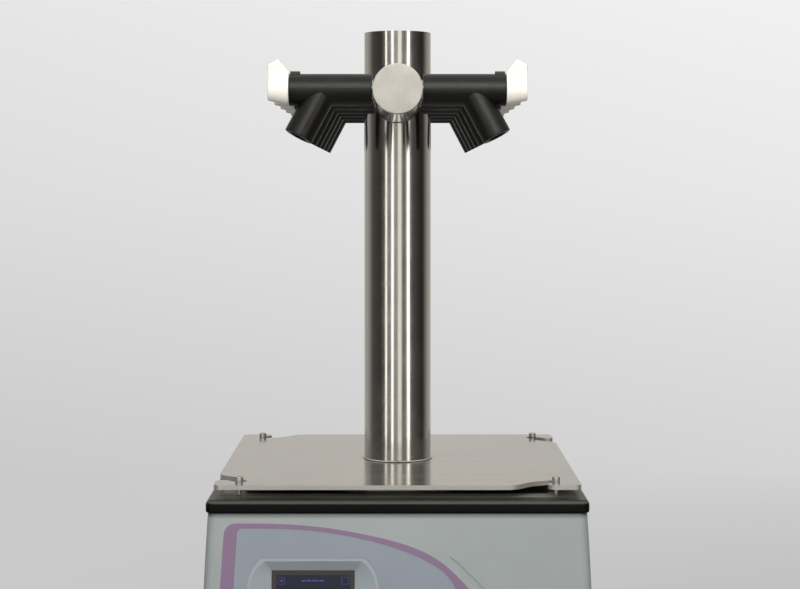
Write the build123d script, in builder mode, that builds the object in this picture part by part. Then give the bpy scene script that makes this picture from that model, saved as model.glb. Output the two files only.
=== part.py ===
from build123d import *
import os
from math import asin, atan2, cos, degrees, radians, sin, sqrt

# Benchtop freeze dryer. A cabinet holds a stainless condenser chamber in its top. A twist-locked
# plate closes the chamber and carries a riser with a cross tube of rubber valves.
# Millimetres. The origin is on the bench under the riser's axis: +X right, +Y rear, +Z up.

# ---- driving dimensions: heights above the bench
foot_height = 20.0
cap_top_z = 530.0
cap_height = 13.6

# ---- working allowances
overrun = 6.0                   # how far a cutting shape runs past what it cuts
near = 0.1                      # for telling one edge from the next

# ---- twist-lock plate and its corner bolts
plate_thickness = 4.76
plate_corner_radius = 8.0
lift_clearance = 0.2            # plate over gasket, bolt head over plate
bolt_spacing = 334.0            # bolt to bolt, both ways
plate_margin = 25.0             # from a bolt to the plate's edge
bolt_radius = 2.5
bolt_head_radius = 4.25
bolt_head_height = 5.0
bolt_head_round = 0.5
bolt_socket_width = 4.0
bolt_socket_depth = 2.5
pocket_radius = 3.8             # notch round each bolt
notch_mouth = 54.0              # from a bolt to where its notch leaves the plate's edge
notch_waist = (30.8, 8.5)       # from a bolt back along the edge, and towards it
notch_heel = (6.0, 7.0)         # from a bolt back along the edge, and away from it
notch_bulge = (3.2, 4.2)        # from a bolt onwards, and away from the edge
tab_middle_turn = 1.4           # from the corner's diagonal, degrees
tab_tip_turn = 2.9
tab_nose = (9.8, 8.0)           # back from the bolt, and in from the edge
tab_foot = 3.3                  # back from the bolt, at the edge

# ---- riser and cross tube
riser_diameter = 76.2
riser_wall = 1.65
riser_height = 486.6            # above the plate
riser_cap_thickness = 2.0
riser_cap_recess = 0.8
weld_width = 1.6
cross_axis_height = 408.5       # above the plate
cross_diameter = 50.8
cross_wall = 1.65
cross_length = 540.0            # over its end caps
end_cap_thickness = 3.0
end_cap_round = 0.8
vapour_slot_length = 56.0
vapour_slot_width = 30.0
port_count = 6                  # on each side
port_end_margin = 25.0          # from the tube's end to its first port
stub_diameter = 19.05
stub_wall = 1.2

# ---- rubber valve, along its own axis from the cross tube's axis
valve_start = 25.8
stub_end = 48.0
valve_end = 109.5
valve_diameter = 32.4
core_bore_radius = 11.0
core_clearance = 0.05           # radial, running
branch_offset = 75.0
branch_angle = 27.5             # from straight down, outwards
branch_length = 54.0
branch_diameter = 30.2
passage_radius = 8.0            # from the core to the flask socket
socket_radius = 9.5
socket_depth = 32.0
valve_round = 1.0
front_lean = 8.0                # the front pair's branches, towards the user, degrees
lug_length = 10.0
lug_width = 10.0
lug_height = 2.0
mark_rib_start = 28.0           # its middle, from the valve's start
mark_rib_drop = 0.5
mark_rib_length = 27.0
mark_rib_size = 1.2

# ---- valve knob
knob_gap = 0.3                  # knob to valve end
knob_length = 21.2
knob_inner_radius = 15.2
knob_outer_radius = 10.8
knob_round = 1.6
pointer_height = 31.3
pointer_thickness = 13.0
pointer_apex_back = 10.6        # from the knob's inner face to the pointer's apex
pointer_shoulder = 25.0
pointer_root = 17.9
pointer_round = 1.5
core_start = 52.0
core_wall = 2.9

# ---- cabinet shell
cap_width = 398.4
cap_front_y = -203.5
cap_rear_y = 231.0
cap_corner_radius = 8.0
cap_wall = 3.5
cap_top_round = 5.4
cap_bottom_round = 2.4
bolt_boss_radius = 6.0
sheet = 1.5
panel_width = 389.0
panel_front_y = -190.0
panel_rear_y = 226.5            # inner face of the rear panel
flange_width = 14.0
pan_flange_height = 18.0
vent_count = 9
vent_length = 90.0
vent_width = 4.5
vent_pitch = 13.0
vent_bottom_z = 70.0
vent_centre_y = -60.0
pan_vent_count = 7
pan_vent_pitch = 13.5
screw_radius = 1.6
screw_head_radius = 3.6
screw_head_height = 2.0
screw_length = 7.0
screw_inset = 40.0              # from a panel's end to its first screw

# ---- front moulding
fascia_wall = 4.0
fascia_end_width = 394.4        # at its top and bottom
fascia_side_rise = 5.8          # how far each side bows out
fascia_end_y = -201.5
fascia_front_rise = 26.0        # how far the front bows out
fascia_rear_y = -168.0
fascia_corner_radius = 10.0
fascia_top_round = 2.5
fascia_lift = 2.0               # above the base pan's underside
panel_clearance = 0.3

# ---- accent band, overlay and ridge on the front, from the swoosh's middle height
swoosh_middle_z = 375.0
inlay_depth = 1.2
band_proud = 0.4
band_left_x = -186.0
band_corner_x = -179.0
band_top = 131.4
band_nose_x = 104.0
band_corner_radius = 12.0
band_curve = [(-120.0, 130.8), (-72.9, 126.9), (-20.2, 117.5), (19.2, 106.2), (45.4, 92.4), (72.6, 67.2)]
inner_left_x = -172.0
inner_corner_x = -165.6
inner_top = 126.4
inner_nose_x = 70.0
inner_corner_radius = 5.0
inner_curve = [(-120.0, 126.1), (-99.3, 125.2), (-46.6, 118.1), (6.0, 104.1), (32.3, 92.6), (54.0, 76.0),
               (60.8, 64.0)]
ridge_height = 1.5
ridge_start = (54.0, 98.5)
ridge_outer_curve = [(71.0, 89.5), (100.0, 62.0)]
ridge_outer_nose_x = 129.0
ridge_inner_curve = [(67.0, 88.3), (92.5, 63.5)]
ridge_inner_nose_x = 118.0

# ---- display in its sunk console
display_x = -87.2
display_z = 426.0
console_top_width = 106.0
console_height = 93.2
console_width = 138.6
console_shoulder = (63.5, 34.5)
console_flank = (68.6, 16.0)
console_rim = 1.6
console_lip = 0.5               # the flare starts this far in front of the face
shoulder_slant = (0.8, 0.6)     # how a margin moves the shoulder, across and up
console_depth = 8.0
console_back = 14.0
console_clearance = 0.2
console_flange = 5.0
console_flange_thickness = 2.0
frame_width = 86.0
frame_height = 67.0
frame_sink = 0.6                # display frame below the console's floor
glass_width = 76.0
glass_height = 57.0
glass_thickness = 1.1
glass_sink = 0.8
module_plate_margin = 7.0
module_plate_thickness = 1.6
board_width = 120.0
board_height = 88.0
board_thickness = 1.6
board_standoff = 12.0
standoff_radius = 3.0
chip_width = 14.0
chip_height = 10.0
chip_pitch_x = 30.0
chip_pitch_z = 24.0
connector_width = 70.0
connector_height = 8.0
connector_inset = 6.0
component_height = 7.0

# ---- condenser chamber
chamber_bore = 254.0
chamber_depth = 200.0
chamber_wall = 1.5
chamber_flange_diameter = 292.0
chamber_flange_thickness = 1.5
chamber_hole_clearance = 1.0
gasket_inner_diameter = 262.0
gasket_outer_diameter = 284.0
gasket_height = 7.3
gasket_lip = 3.0
insulation_diameter = 336.0
insulation_floor = 28.0
coil_tube_diameter = 9.52
coil_pitch = 16.0
coil_turns = 6
coil_start_above_floor = 14.0
coil_clearance = 0.15
insulation_coil_gap = 3.5
vacuum_bore_radius = 12.0
vacuum_pipe_wall = 1.5
vacuum_pipe_z = 472.0
vacuum_flange_radius = 20.0
vacuum_flange_thickness = 3.2
vacuum_flange_cone = 4.0
vacuum_end_y = 262.0
drain_pipe_radius = 6.35
drain_pipe_bore = 5.0
drain_pipe_z = 283.0
drain_bend_radius = 18.0
hole_clearance = 0.6

# ---- drain valve on the rear
valve_block_width = 24.0
valve_block_length = 26.0
valve_block_height = 24.0
valve_block_chamfer = 4.0
valve_block_gap = 4.0           # behind the rear panel
barb_radius = 5.0
barb_bore_radius = 3.2
barb_length = 26.0
barb_ring_rise = 0.9
barb_count = 3
stem_radius = 3.0
stem_height = 7.0
lever_length = 42.0
lever_width = 9.0
lever_thickness = 2.5
lever_gap = 0.4
lever_bore_clearance = 0.05

# ---- power inlet and switch module on the rear
module_x = 154.0
module_z = 84.0
module_width = 52.0
module_height = 60.0
module_flange_thickness = 3.0
module_corner_radius = 3.0
module_body_width = 44.0
module_body_height = 52.0
module_body_depth = 26.0
inlet_width = 27.0
inlet_height = 19.5
inlet_depth = 18.0
inlet_drop = 11.0               # inlet centre below the module's centre
pin_width = 2.0
pin_height = 5.0
pin_spacing = 7.0
pin_stagger = 2.0
pin_sink = 2.0                  # below the inlet's rim
rocker_rise = 14.0              # rocker centre above the module's centre
rocker_window_width = 15.0
rocker_window_height = 21.0
rocker_clearance = 0.3
rocker_tilt = 9.0
rocker_pivot_depth = 4.0
rocker_pin_radius = 1.0
rocker_pin_length = 1.2
rocker_end_gap = 1.5
rocker_end_rise = 1.5
rocker_dip = 0.2
rocker_back = 2.0
rocker_round = 0.5
pin_end_gap = 0.5
pivot_clearance = 0.05

# ---- refrigeration
compressor_x = -95.0
compressor_y = -60.0
compressor_radius = 76.0
compressor_height = 180.0
compressor_dome = 30.0
seam_width = 2.0
seam_drop = 20.0                # below the dome
compressor_foot_width = 150.0
compressor_foot_thickness = 3.0
grommet_height = 12.0
grommet_radius = 11.0
grommet_chamfer = 1.5
grommet_pitch = 120.0
fan_x = 0.0
fan_z = 146.0
radiator_width = 200.0
radiator_height = 200.0
radiator_depth = 42.0
radiator_gap = 5.0              # radiator to rear panel
fin_pitch = 8.0
fin_thickness = 0.8
tube_rows = 6
radiator_tube_radius = 4.76
return_bend_reach = 6.0         # beyond the last fin
radiator_stand_share = 0.8      # of the radiator's width
shroud_thickness = 2.0
shroud_depth = 30.0
fan_duct_radius = 90.0
fan_radius = 85.0
fan_hub_radius = 24.0
fan_hub_depth = 18.0
fan_blades = 5
fan_blade_thickness = 2.0
fan_blade_twist = 35.0
fan_blade_root = 2.0            # sunk in the hub
motor_radius = 28.0
motor_depth = 36.0
motor_strut_width = 10.0
motor_gap = 6.0                 # behind the rotor
strut_pad_gap = 4.0
shaft_radius = 3.0
shaft_clearance = 0.05
shaft_root = 10.0               # sunk in the motor
grille_rows = 13
grille_slot_length = 84.0
grille_slot_width = 6.0
grille_pitch = 13.0
line_radius = 4.0
line_bend = 9.0
liquid_x = 118.0
discharge_rise = 40.0
filter_radius = 14.0
filter_length = 70.0

# ---- feet
foot_top_radius = 16.0
foot_bottom_radius = 13.0
foot_round = 1.5
foot_x = 160.0
foot_front_y = -150.0
foot_rear_y = 190.0

# ---- places that follow from the driving dimensions
plate_bottom_z = cap_top_z + chamber_flange_thickness + gasket_height + lift_clearance
plate_top_z = plate_bottom_z + plate_thickness
riser_radius = riser_diameter / 2
cross_radius = cross_diameter / 2
stub_radius = stub_diameter / 2
valve_radius = valve_diameter / 2
cross_axis_z = plate_top_z + cross_axis_height
cap_bottom_z = cap_top_z - cap_height
bolt_offset = bolt_spacing / 2
plate_half = bolt_offset + plate_margin
panel_half = panel_width / 2
port_pitch = (cross_length - 2 * port_end_margin) / (port_count - 1)
port_places = [port_pitch * (index - (port_count - 1) / 2) for index in range(port_count)]
bolt_places = [(x, y) for x in (-bolt_offset, bolt_offset) for y in (-bolt_offset, bolt_offset)]
screw_heights = [foot_height + screw_inset, (foot_height + cap_bottom_z) / 2, cap_bottom_z - screw_inset]
screw_depths = [panel_front_y + screw_inset, (panel_front_y + panel_rear_y) / 2, panel_rear_y - screw_inset]
pan_screw_z = foot_height + pan_flange_height / 2

fascia_bottom_z = foot_height + fascia_lift
fascia_middle_z = (cap_bottom_z + fascia_bottom_z) / 2
fascia_half_height = (cap_bottom_z - fascia_bottom_z) / 2
fascia_half_width = fascia_end_width / 2 + fascia_side_rise
front_radius = (fascia_half_height ** 2 + fascia_front_rise ** 2) / (2 * fascia_front_rise)
side_radius = (fascia_half_height ** 2 + fascia_side_rise ** 2) / (2 * fascia_side_rise)
front_y = fascia_end_y - fascia_front_rise
front_centre_y = front_y + front_radius

swoosh_plane = Plane(origin=(0, 0, swoosh_middle_z), x_dir=(1, 0, 0), z_dir=(0, -1, 0))
display_lean = asin((display_z - fascia_middle_z) / front_radius)
display_face_y = front_centre_y - front_radius * cos(display_lean)
display_plane = Plane(
    origin=(display_x, display_face_y, display_z),
    x_dir=(1, 0, 0),
    z_dir=(0, -cos(display_lean), sin(display_lean)),
)
frame_front = -(console_depth + frame_sink)
board_front = -(console_back + module_plate_thickness + board_standoff)

chamber_radius = chamber_bore / 2
chamber_outer_radius = chamber_radius + chamber_wall
chamber_top_z = cap_top_z + chamber_flange_thickness
chamber_floor_z = chamber_top_z - chamber_depth
coil_radius = chamber_outer_radius + coil_tube_diameter / 2 + coil_clearance
insulation_bore = coil_radius + coil_tube_diameter / 2 + insulation_coil_gap
insulation_bottom_z = chamber_floor_z - chamber_wall - insulation_floor
coil_bottom_z = chamber_floor_z + coil_start_above_floor
coil_top_z = coil_bottom_z + coil_pitch * coil_turns
vacuum_pipe_radius = vacuum_bore_radius + vacuum_pipe_wall
rear_face_y = panel_rear_y + sheet

pan_top_z = foot_height + sheet
suction_angle = degrees(atan2(compressor_y, compressor_x)) + 360
suction_place = (coil_radius * cos(radians(suction_angle)), coil_radius * sin(radians(suction_angle)))
liquid_place = (liquid_x, -sqrt(coil_radius ** 2 - liquid_x ** 2))
liquid_angle = degrees(atan2(liquid_place[1], liquid_place[0])) + 360
compressor_bottom_z = pan_top_z + grommet_height
compressor_top_z = compressor_bottom_z + compressor_height
radiator_rear_y = panel_rear_y - radiator_gap
radiator_front_y = radiator_rear_y - radiator_depth
shroud_front_y = radiator_front_y - shroud_depth
fan_plane = Plane(origin=(fan_x, shroud_front_y, fan_z), x_dir=(-1, 0, 0), z_dir=(0, 1, 0))
module_plane = Plane(origin=(module_x, rear_face_y, module_z), x_dir=(-1, 0, 0), z_dir=(0, 1, 0))
valve_block_y = rear_face_y + valve_block_gap
lever_plane_z = drain_pipe_z + valve_block_height / 2 + lever_gap

os.makedirs("parts", exist_ok=True)


def save(shape, name):
    """Label a finished piece and write its STEP file."""
    shape.label = name
    export_step(shape, f"parts/{name}.step")


# ================================ plate, riser and cross tube ================================


def notch_face():
    """Twist-lock notch of the front right corner, open to the plate's front edge."""
    bolt = bolt_offset
    edge = -plate_half
    mouth_x = bolt - notch_mouth
    pocket = pocket_radius * sqrt(0.5)
    orbit = bolt * sqrt(2) + pocket_radius
    tab_middle_angle = radians(-45 - tab_middle_turn)
    tab_tip_angle = radians(-45 - tab_tip_turn)
    tab_middle = (orbit * cos(tab_middle_angle), orbit * sin(tab_middle_angle))
    tab_tip = (orbit * cos(tab_tip_angle), orbit * sin(tab_tip_angle))
    waist = (bolt - notch_waist[0], -bolt - notch_waist[1])
    heel = (bolt - notch_heel[0], -bolt + notch_heel[1])
    bulge = (bolt + notch_bulge[0], -bolt + notch_bulge[1])
    nose_side = (bolt - tab_nose[0], edge + tab_nose[1])
    foot_x = bolt - tab_foot
    with BuildSketch(Plane.XY.offset(plate_bottom_z)) as notch:
        with BuildLine():
            ramp = Spline((mouth_x, edge), waist, heel, tangents=((1, 0.02), (1, 0.3)))
            inner = ThreePointArc(ramp @ 1, bulge, (bolt + pocket, -bolt - pocket))
            tab = ThreePointArc(inner @ 1, tab_middle, tab_tip)
            ThreePointArc(tab @ 1, nose_side, (foot_x, edge))
            Polyline((foot_x, edge), (foot_x, edge - overrun), (mouth_x, edge - overrun), (mouth_x, edge))
        make_face()
    return notch.sketch


with BuildPart() as manifold_plate:
    with BuildSketch(Plane.XY.offset(plate_bottom_z)):
        RectangleRounded(2 * plate_half, 2 * plate_half, plate_corner_radius)
        Circle(riser_radius - riser_wall, mode=Mode.SUBTRACT)
        with PolarLocations(0, 4):
            add(notch_face().moved(Location((0, 0, -plate_bottom_z))), mode=Mode.SUBTRACT)
    extrude(amount=plate_thickness)
save(manifold_plate.part, "manifold_plate")

with BuildPart() as riser_tube:
    with BuildSketch(Plane.XY.offset(plate_top_z)):
        Circle(riser_radius)
        Circle(riser_radius - riser_wall, mode=Mode.SUBTRACT)
    extrude(amount=riser_height)
    with BuildSketch(Plane.XZ):
        with BuildLine():
            Polyline((riser_radius, plate_top_z), (riser_radius + weld_width, plate_top_z),
                     (riser_radius, plate_top_z + weld_width), close=True)
        make_face()
    revolve(axis=Axis.Z)
    with Locations(Location((0, 0, cross_axis_z), (90, 0, 0))):
        Cylinder(cross_radius, riser_diameter + overrun, mode=Mode.SUBTRACT)
save(riser_tube.part, "riser_tube")

with BuildPart() as riser_cap:
    with BuildSketch(Plane.XY.offset(plate_top_z + riser_height - riser_cap_recess - riser_cap_thickness)):
        Circle(riser_radius - riser_wall)
    extrude(amount=riser_cap_thickness)
save(riser_cap.part, "riser_cap")

with BuildPart() as cross_tube:
    tube_length = cross_length - 2 * end_cap_thickness
    with Locations(Location((0, 0, cross_axis_z), (90, 0, 0))):
        Cylinder(cross_radius, tube_length)
        Cylinder(cross_radius - cross_wall, tube_length, mode=Mode.SUBTRACT)
    with Locations([Location((0, y, cross_axis_z), (0, 90, 0)) for y in port_places]):
        Cylinder(stub_radius - stub_wall, cross_diameter + overrun, mode=Mode.SUBTRACT)
    with Locations((0, 0, cross_axis_z - cross_radius)):
        Box(vapour_slot_width, vapour_slot_length, cross_radius, mode=Mode.SUBTRACT)
save(cross_tube.part, "cross_tube")

with BuildPart() as cross_end_caps:
    for rear in (-1, 1):
        cap_plane = Plane(origin=(0, rear * tube_length / 2, cross_axis_z), z_dir=(0, rear, 0))
        with BuildSketch(cap_plane):
            Circle(cross_radius)
        extrude(amount=end_cap_thickness)
    rims = cross_end_caps.edges().group_by(Axis.Y)
    fillet(rims[0] + rims[-1], radius=end_cap_round)
save(cross_end_caps.part, "cross_end_caps")

with BuildPart() as port_stubs:
    with Locations([Location((side * stub_end / 2, y, cross_axis_z), (0, 90, 0))
                    for side in (-1, 1) for y in port_places]):
        Cylinder(stub_radius, stub_end)
        Cylinder(stub_radius - stub_wall, stub_end + overrun, mode=Mode.SUBTRACT)
    with Locations(Location((0, 0, cross_axis_z), (90, 0, 0))):
        Cylinder(cross_radius, cross_length, mode=Mode.SUBTRACT)
save(port_stubs.part, "port_stubs")

# ======================================= rubber valves =======================================

branch_plane = Plane(
    origin=(branch_offset, 0, 0),
    x_dir=(0, 1, 0),
    z_dir=(sin(radians(branch_angle)), 0, -cos(radians(branch_angle))),
)
core_port_plane = Plane(
    origin=(branch_offset, 0, 0),
    x_dir=(0, 1, 0),
    z_dir=(sin(radians(branch_angle)), 0, cos(radians(branch_angle))),
)

with BuildPart() as valve_body:
    with BuildSketch(Plane.YZ.offset(valve_start)):
        Circle(valve_radius)
    extrude(amount=valve_end - valve_start)
    with BuildSketch(branch_plane):
        Circle(branch_diameter / 2)
    extrude(amount=branch_length)
    fillet(valve_body.edges().filter_by(GeomType.CIRCLE), radius=valve_round)
    with Locations((valve_end - lug_length / 2 - valve_round, 0, valve_radius)):
        Box(lug_length, lug_width, 2 * lug_height)
    with Locations((valve_start + mark_rib_start, valve_radius, -mark_rib_drop)):
        Box(mark_rib_length, mark_rib_size, mark_rib_size)
    with BuildSketch(Plane.YZ.offset(valve_start)):
        Circle(stub_radius)
    extrude(amount=stub_end - valve_start, mode=Mode.SUBTRACT)
    with BuildSketch(Plane.YZ.offset(stub_end)):
        Circle(core_bore_radius)
    extrude(amount=valve_end - stub_end, mode=Mode.SUBTRACT)
    with BuildSketch(branch_plane):
        Circle(passage_radius)
    extrude(amount=branch_length, mode=Mode.SUBTRACT)
    with BuildSketch(branch_plane.offset(branch_length - socket_depth)):
        Circle(socket_radius)
    extrude(amount=socket_depth, mode=Mode.SUBTRACT)

knob_face = valve_end + knob_gap
knob_tip = knob_face + knob_length

with BuildPart() as pointer:
    with BuildSketch(Plane.XZ) as pointer_side:
        with BuildLine():
            Polyline((knob_face, 0), (knob_face, pointer_root),
                     (knob_face + pointer_apex_back, pointer_height), (knob_tip, pointer_shoulder),
                     (knob_tip, 0), close=True)
        make_face()
        fillet(pointer_side.vertices().filter_by(lambda corner: corner.Y > pointer_root + near),
               radius=pointer_round)
    extrude(amount=pointer_thickness / 2, both=True)
    cheeks = pointer.faces().filter_by(Axis.Y).edges()
    fillet(cheeks.filter_by(lambda edge: edge.center().Z > pointer_root - near
                            or edge.center().X > knob_tip - near), radius=pointer_round)

with BuildPart() as valve_knob:
    with BuildSketch(Plane.XZ) as hub_side:
        with BuildLine():
            Polyline((knob_face, 0), (knob_face, knob_inner_radius), (knob_tip, knob_outer_radius),
                     (knob_tip, 0), close=True)
        make_face()
        fillet(hub_side.vertices().filter_by(lambda corner: abs(corner.Y - knob_outer_radius) < near),
               radius=knob_round)
    revolve(axis=Axis.X)
    add(pointer.part)
    with BuildSketch(Plane.YZ.offset(core_start)):
        Circle(core_bore_radius - core_clearance)
    extrude(amount=knob_face - core_start)
    with BuildSketch(Plane.YZ.offset(core_start)):
        Circle(core_bore_radius - core_clearance - core_wall)
    extrude(amount=valve_end - core_start, mode=Mode.SUBTRACT)
    with BuildSketch(core_port_plane):
        Circle(passage_radius)
    extrude(amount=core_bore_radius + overrun, mode=Mode.SUBTRACT)

for side_name, turn in (("right", 0), ("left", 180)):
    for number, port_y in enumerate(port_places, start=1):
        valve_place = Location((0, port_y, cross_axis_z), (0, 0, turn))
        lean = -front_lean if number == 1 else 0
        leaning_place = Location((0, port_y, cross_axis_z), (lean, 0, 0)) * Location((0, 0, 0), (0, 0, turn))
        with BuildPart() as placed_body:
            with Locations(leaning_place):
                add(valve_body.part)
        save(placed_body.part, f"valve_body_{side_name}_{number}")
        with BuildPart() as placed_knob:
            with Locations(valve_place):
                add(valve_knob.part)
        save(placed_knob.part, f"valve_knob_{side_name}_{number}")

# ======================================= cabinet panels =======================================

with BuildPart() as base_pan:
    pan_rear_y = panel_rear_y
    pan_front_y = panel_front_y
    pan_half = panel_half - sheet
    pan_length = pan_rear_y - pan_front_y
    pan_middle_y = (pan_rear_y + pan_front_y) / 2
    with BuildSketch(Plane.XY.offset(foot_height)):
        with Locations((0, pan_middle_y)):
            Rectangle(2 * pan_half, pan_length)
    extrude(amount=pan_flange_height)
    with BuildSketch(Plane.XY.offset(pan_top_z)):
        with Locations((0, pan_middle_y)):
            Rectangle(2 * (pan_half - sheet), pan_length - 2 * sheet)
    extrude(amount=pan_flange_height, mode=Mode.SUBTRACT)
    with BuildSketch(Plane.XY.offset(foot_height)):
        with Locations((compressor_x, compressor_y)):
            with GridLocations(0, pan_vent_pitch, 1, pan_vent_count):
                SlotOverall(vent_length, vent_width)
    extrude(amount=sheet, mode=Mode.SUBTRACT)
    with Locations([Location((side * pan_half, y, pan_screw_z), (0, 90, 0))
                    for side in (-1, 1) for y in screw_depths]):
        Cylinder(screw_radius, 4 * sheet, mode=Mode.SUBTRACT)
save(base_pan.part, "base_pan")

for side_name, side in (("left", -1), ("right", 1)):
    with BuildPart() as side_panel:
        inner_x = side * (panel_half - flange_width)
        panel_length = panel_rear_y - panel_front_y
        with BuildSketch(Plane.XY.offset(foot_height)):
            with Locations((side * (panel_half - sheet / 2), panel_rear_y - panel_length / 2)):
                Rectangle(sheet, panel_length)
            with Locations((side * (panel_half - flange_width / 2), panel_rear_y - sheet / 2)):
                Rectangle(flange_width, sheet)
        extrude(amount=cap_bottom_z - foot_height)
        with BuildSketch(Plane.XY.offset(foot_height)):
            with Locations((side * (panel_half - sheet - flange_width / 2), panel_rear_y)):
                Rectangle(flange_width, 2 * sheet)
        extrude(amount=pan_flange_height + sheet, mode=Mode.SUBTRACT)
        with BuildSketch(Plane.XY.offset(cap_bottom_z - sheet)):
            with Locations((side * (panel_half - flange_width / 2),
                            (fascia_rear_y + panel_rear_y) / 2)):
                Rectangle(flange_width, panel_rear_y - fascia_rear_y)
        extrude(amount=sheet)
        with BuildSketch(Plane.XY.offset(cap_bottom_z)):
            with Locations((side * panel_half, (panel_front_y + fascia_rear_y) / 2)):
                Rectangle(4 * sheet, fascia_rear_y - panel_front_y)
        extrude(amount=-fascia_wall - panel_clearance, mode=Mode.SUBTRACT)
        with BuildSketch(Plane.YZ.offset(side * panel_half - sheet)):
            with Locations((vent_centre_y, vent_bottom_z + vent_pitch * (vent_count - 1) / 2)):
                with GridLocations(0, vent_pitch, 1, vent_count):
                    SlotOverall(vent_length, vent_width)
        extrude(amount=2 * sheet, mode=Mode.SUBTRACT)
        with Locations([Location((side * panel_half, y, pan_screw_z), (0, 90, 0)) for y in screw_depths]):
            Cylinder(screw_radius, 4 * sheet, mode=Mode.SUBTRACT)
        with Locations([Location((side * (panel_half - flange_width / 2), panel_rear_y, z), (90, 0, 0))
                        for z in screw_heights]):
            Cylinder(screw_radius, 4 * sheet, mode=Mode.SUBTRACT)
    save(side_panel.part, f"{side_name}_side_panel")

with BuildPart() as rear_panel:
    rear_sheet_plane = Plane(origin=(0, panel_rear_y, 0), x_dir=(-1, 0, 0), z_dir=(0, 1, 0))
    with BuildSketch(rear_sheet_plane):
        with Locations((0, (cap_bottom_z + foot_height) / 2)):
            Rectangle(panel_width, cap_bottom_z - foot_height)
        with Locations((-fan_x, fan_z)):
            with GridLocations(grille_slot_length + 2 * grille_slot_width, grille_pitch, 2, grille_rows):
                SlotOverall(grille_slot_length, grille_slot_width, mode=Mode.SUBTRACT)
        with Locations((0, vacuum_pipe_z)):
            Circle(vacuum_pipe_radius + hole_clearance, mode=Mode.SUBTRACT)
        with Locations((0, drain_pipe_z)):
            Circle(drain_pipe_radius + hole_clearance, mode=Mode.SUBTRACT)
        with Locations((-module_x, module_z)):
            Rectangle(module_body_width, module_body_height, mode=Mode.SUBTRACT)
        with Locations([(side * (panel_half - flange_width / 2), z)
                        for side in (-1, 1) for z in screw_heights]):
            Circle(screw_radius, mode=Mode.SUBTRACT)
    extrude(amount=sheet)
save(rear_panel.part, "rear_panel")

with BuildPart() as panel_screws:
    for side in (-1, 1):
        for y in screw_depths:
            screw_plane = Plane(origin=(side * panel_half, y, pan_screw_z), z_dir=(side, 0, 0))
            with BuildSketch(screw_plane):
                Circle(screw_head_radius)
            extrude(amount=screw_head_height)
            with BuildSketch(screw_plane):
                Circle(screw_radius)
            extrude(amount=-screw_length)
        for z in screw_heights:
            rear_x = side * (panel_half - flange_width / 2)
            screw_plane = Plane(origin=(rear_x, rear_face_y, z), z_dir=(0, 1, 0))
            with BuildSketch(screw_plane):
                Circle(screw_head_radius)
            extrude(amount=screw_head_height)
            with BuildSketch(screw_plane):
                Circle(screw_radius)
            extrude(amount=-screw_length)
save(panel_screws.part, "panel_screws")

with BuildPart() as feet:
    for x in (-foot_x, foot_x):
        for y in (foot_front_y, foot_rear_y):
            with BuildSketch(Plane.XY):
                with Locations((x, y)):
                    Circle(foot_bottom_radius)
            with BuildSketch(Plane.XY.offset(foot_height)):
                with Locations((x, y)):
                    Circle(foot_top_radius)
            loft()
    fillet(feet.edges().group_by(Axis.Z)[0], radius=foot_round)
save(feet.part, "feet")

cap_length = cap_rear_y - cap_front_y
cap_middle_y = (cap_rear_y + cap_front_y) / 2

with BuildPart() as top_cap:
    with BuildSketch(Plane.XY.offset(cap_bottom_z)):
        with Locations((0, cap_middle_y)):
            RectangleRounded(cap_width, cap_length, cap_corner_radius)
    extrude(amount=cap_height)
    fillet(top_cap.edges().group_by(Axis.Z)[-1], radius=cap_top_round)
    fillet(top_cap.edges().group_by(Axis.Z)[0], radius=cap_bottom_round)
    with BuildSketch(Plane.XY.offset(cap_bottom_z)):
        with Locations((0, cap_middle_y)):
            RectangleRounded(cap_width - 2 * cap_wall - 2 * cap_bottom_round,
                             cap_length - 2 * cap_wall - 2 * cap_bottom_round, cap_corner_radius / 2)
    extrude(amount=cap_height - cap_wall, mode=Mode.SUBTRACT)
    with BuildSketch(Plane.XY.offset(cap_bottom_z)):
        with Locations(bolt_places):
            Circle(bolt_boss_radius)
    extrude(amount=cap_height - cap_wall)
    with BuildSketch(Plane.XY.offset(cap_bottom_z)):
        Circle(chamber_outer_radius + chamber_hole_clearance)
        with Locations(bolt_places):
            Circle(bolt_radius)
    extrude(amount=cap_height, mode=Mode.SUBTRACT)
save(top_cap.part, "top_cap")

with BuildPart() as corner_bolts:
    head_z = plate_top_z + lift_clearance
    with BuildSketch(Plane.XY.offset(cap_bottom_z)):
        with Locations(bolt_places):
            Circle(bolt_radius)
    extrude(amount=head_z - cap_bottom_z)
    with BuildSketch(Plane.XY.offset(head_z)):
        with Locations(bolt_places):
            Circle(bolt_head_radius)
    extrude(amount=bolt_head_height)
    fillet(corner_bolts.edges().group_by(Axis.Z)[-1], radius=bolt_head_round)
    with BuildSketch(Plane.XY.offset(head_z + bolt_head_height - bolt_socket_depth)):
        with Locations(bolt_places):
            RegularPolygon(bolt_socket_width / 2, 6, major_radius=False)
    extrude(amount=bolt_socket_depth, mode=Mode.SUBTRACT)
save(corner_bolts.part, "corner_bolts")

# ======================================= front moulding =======================================


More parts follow.
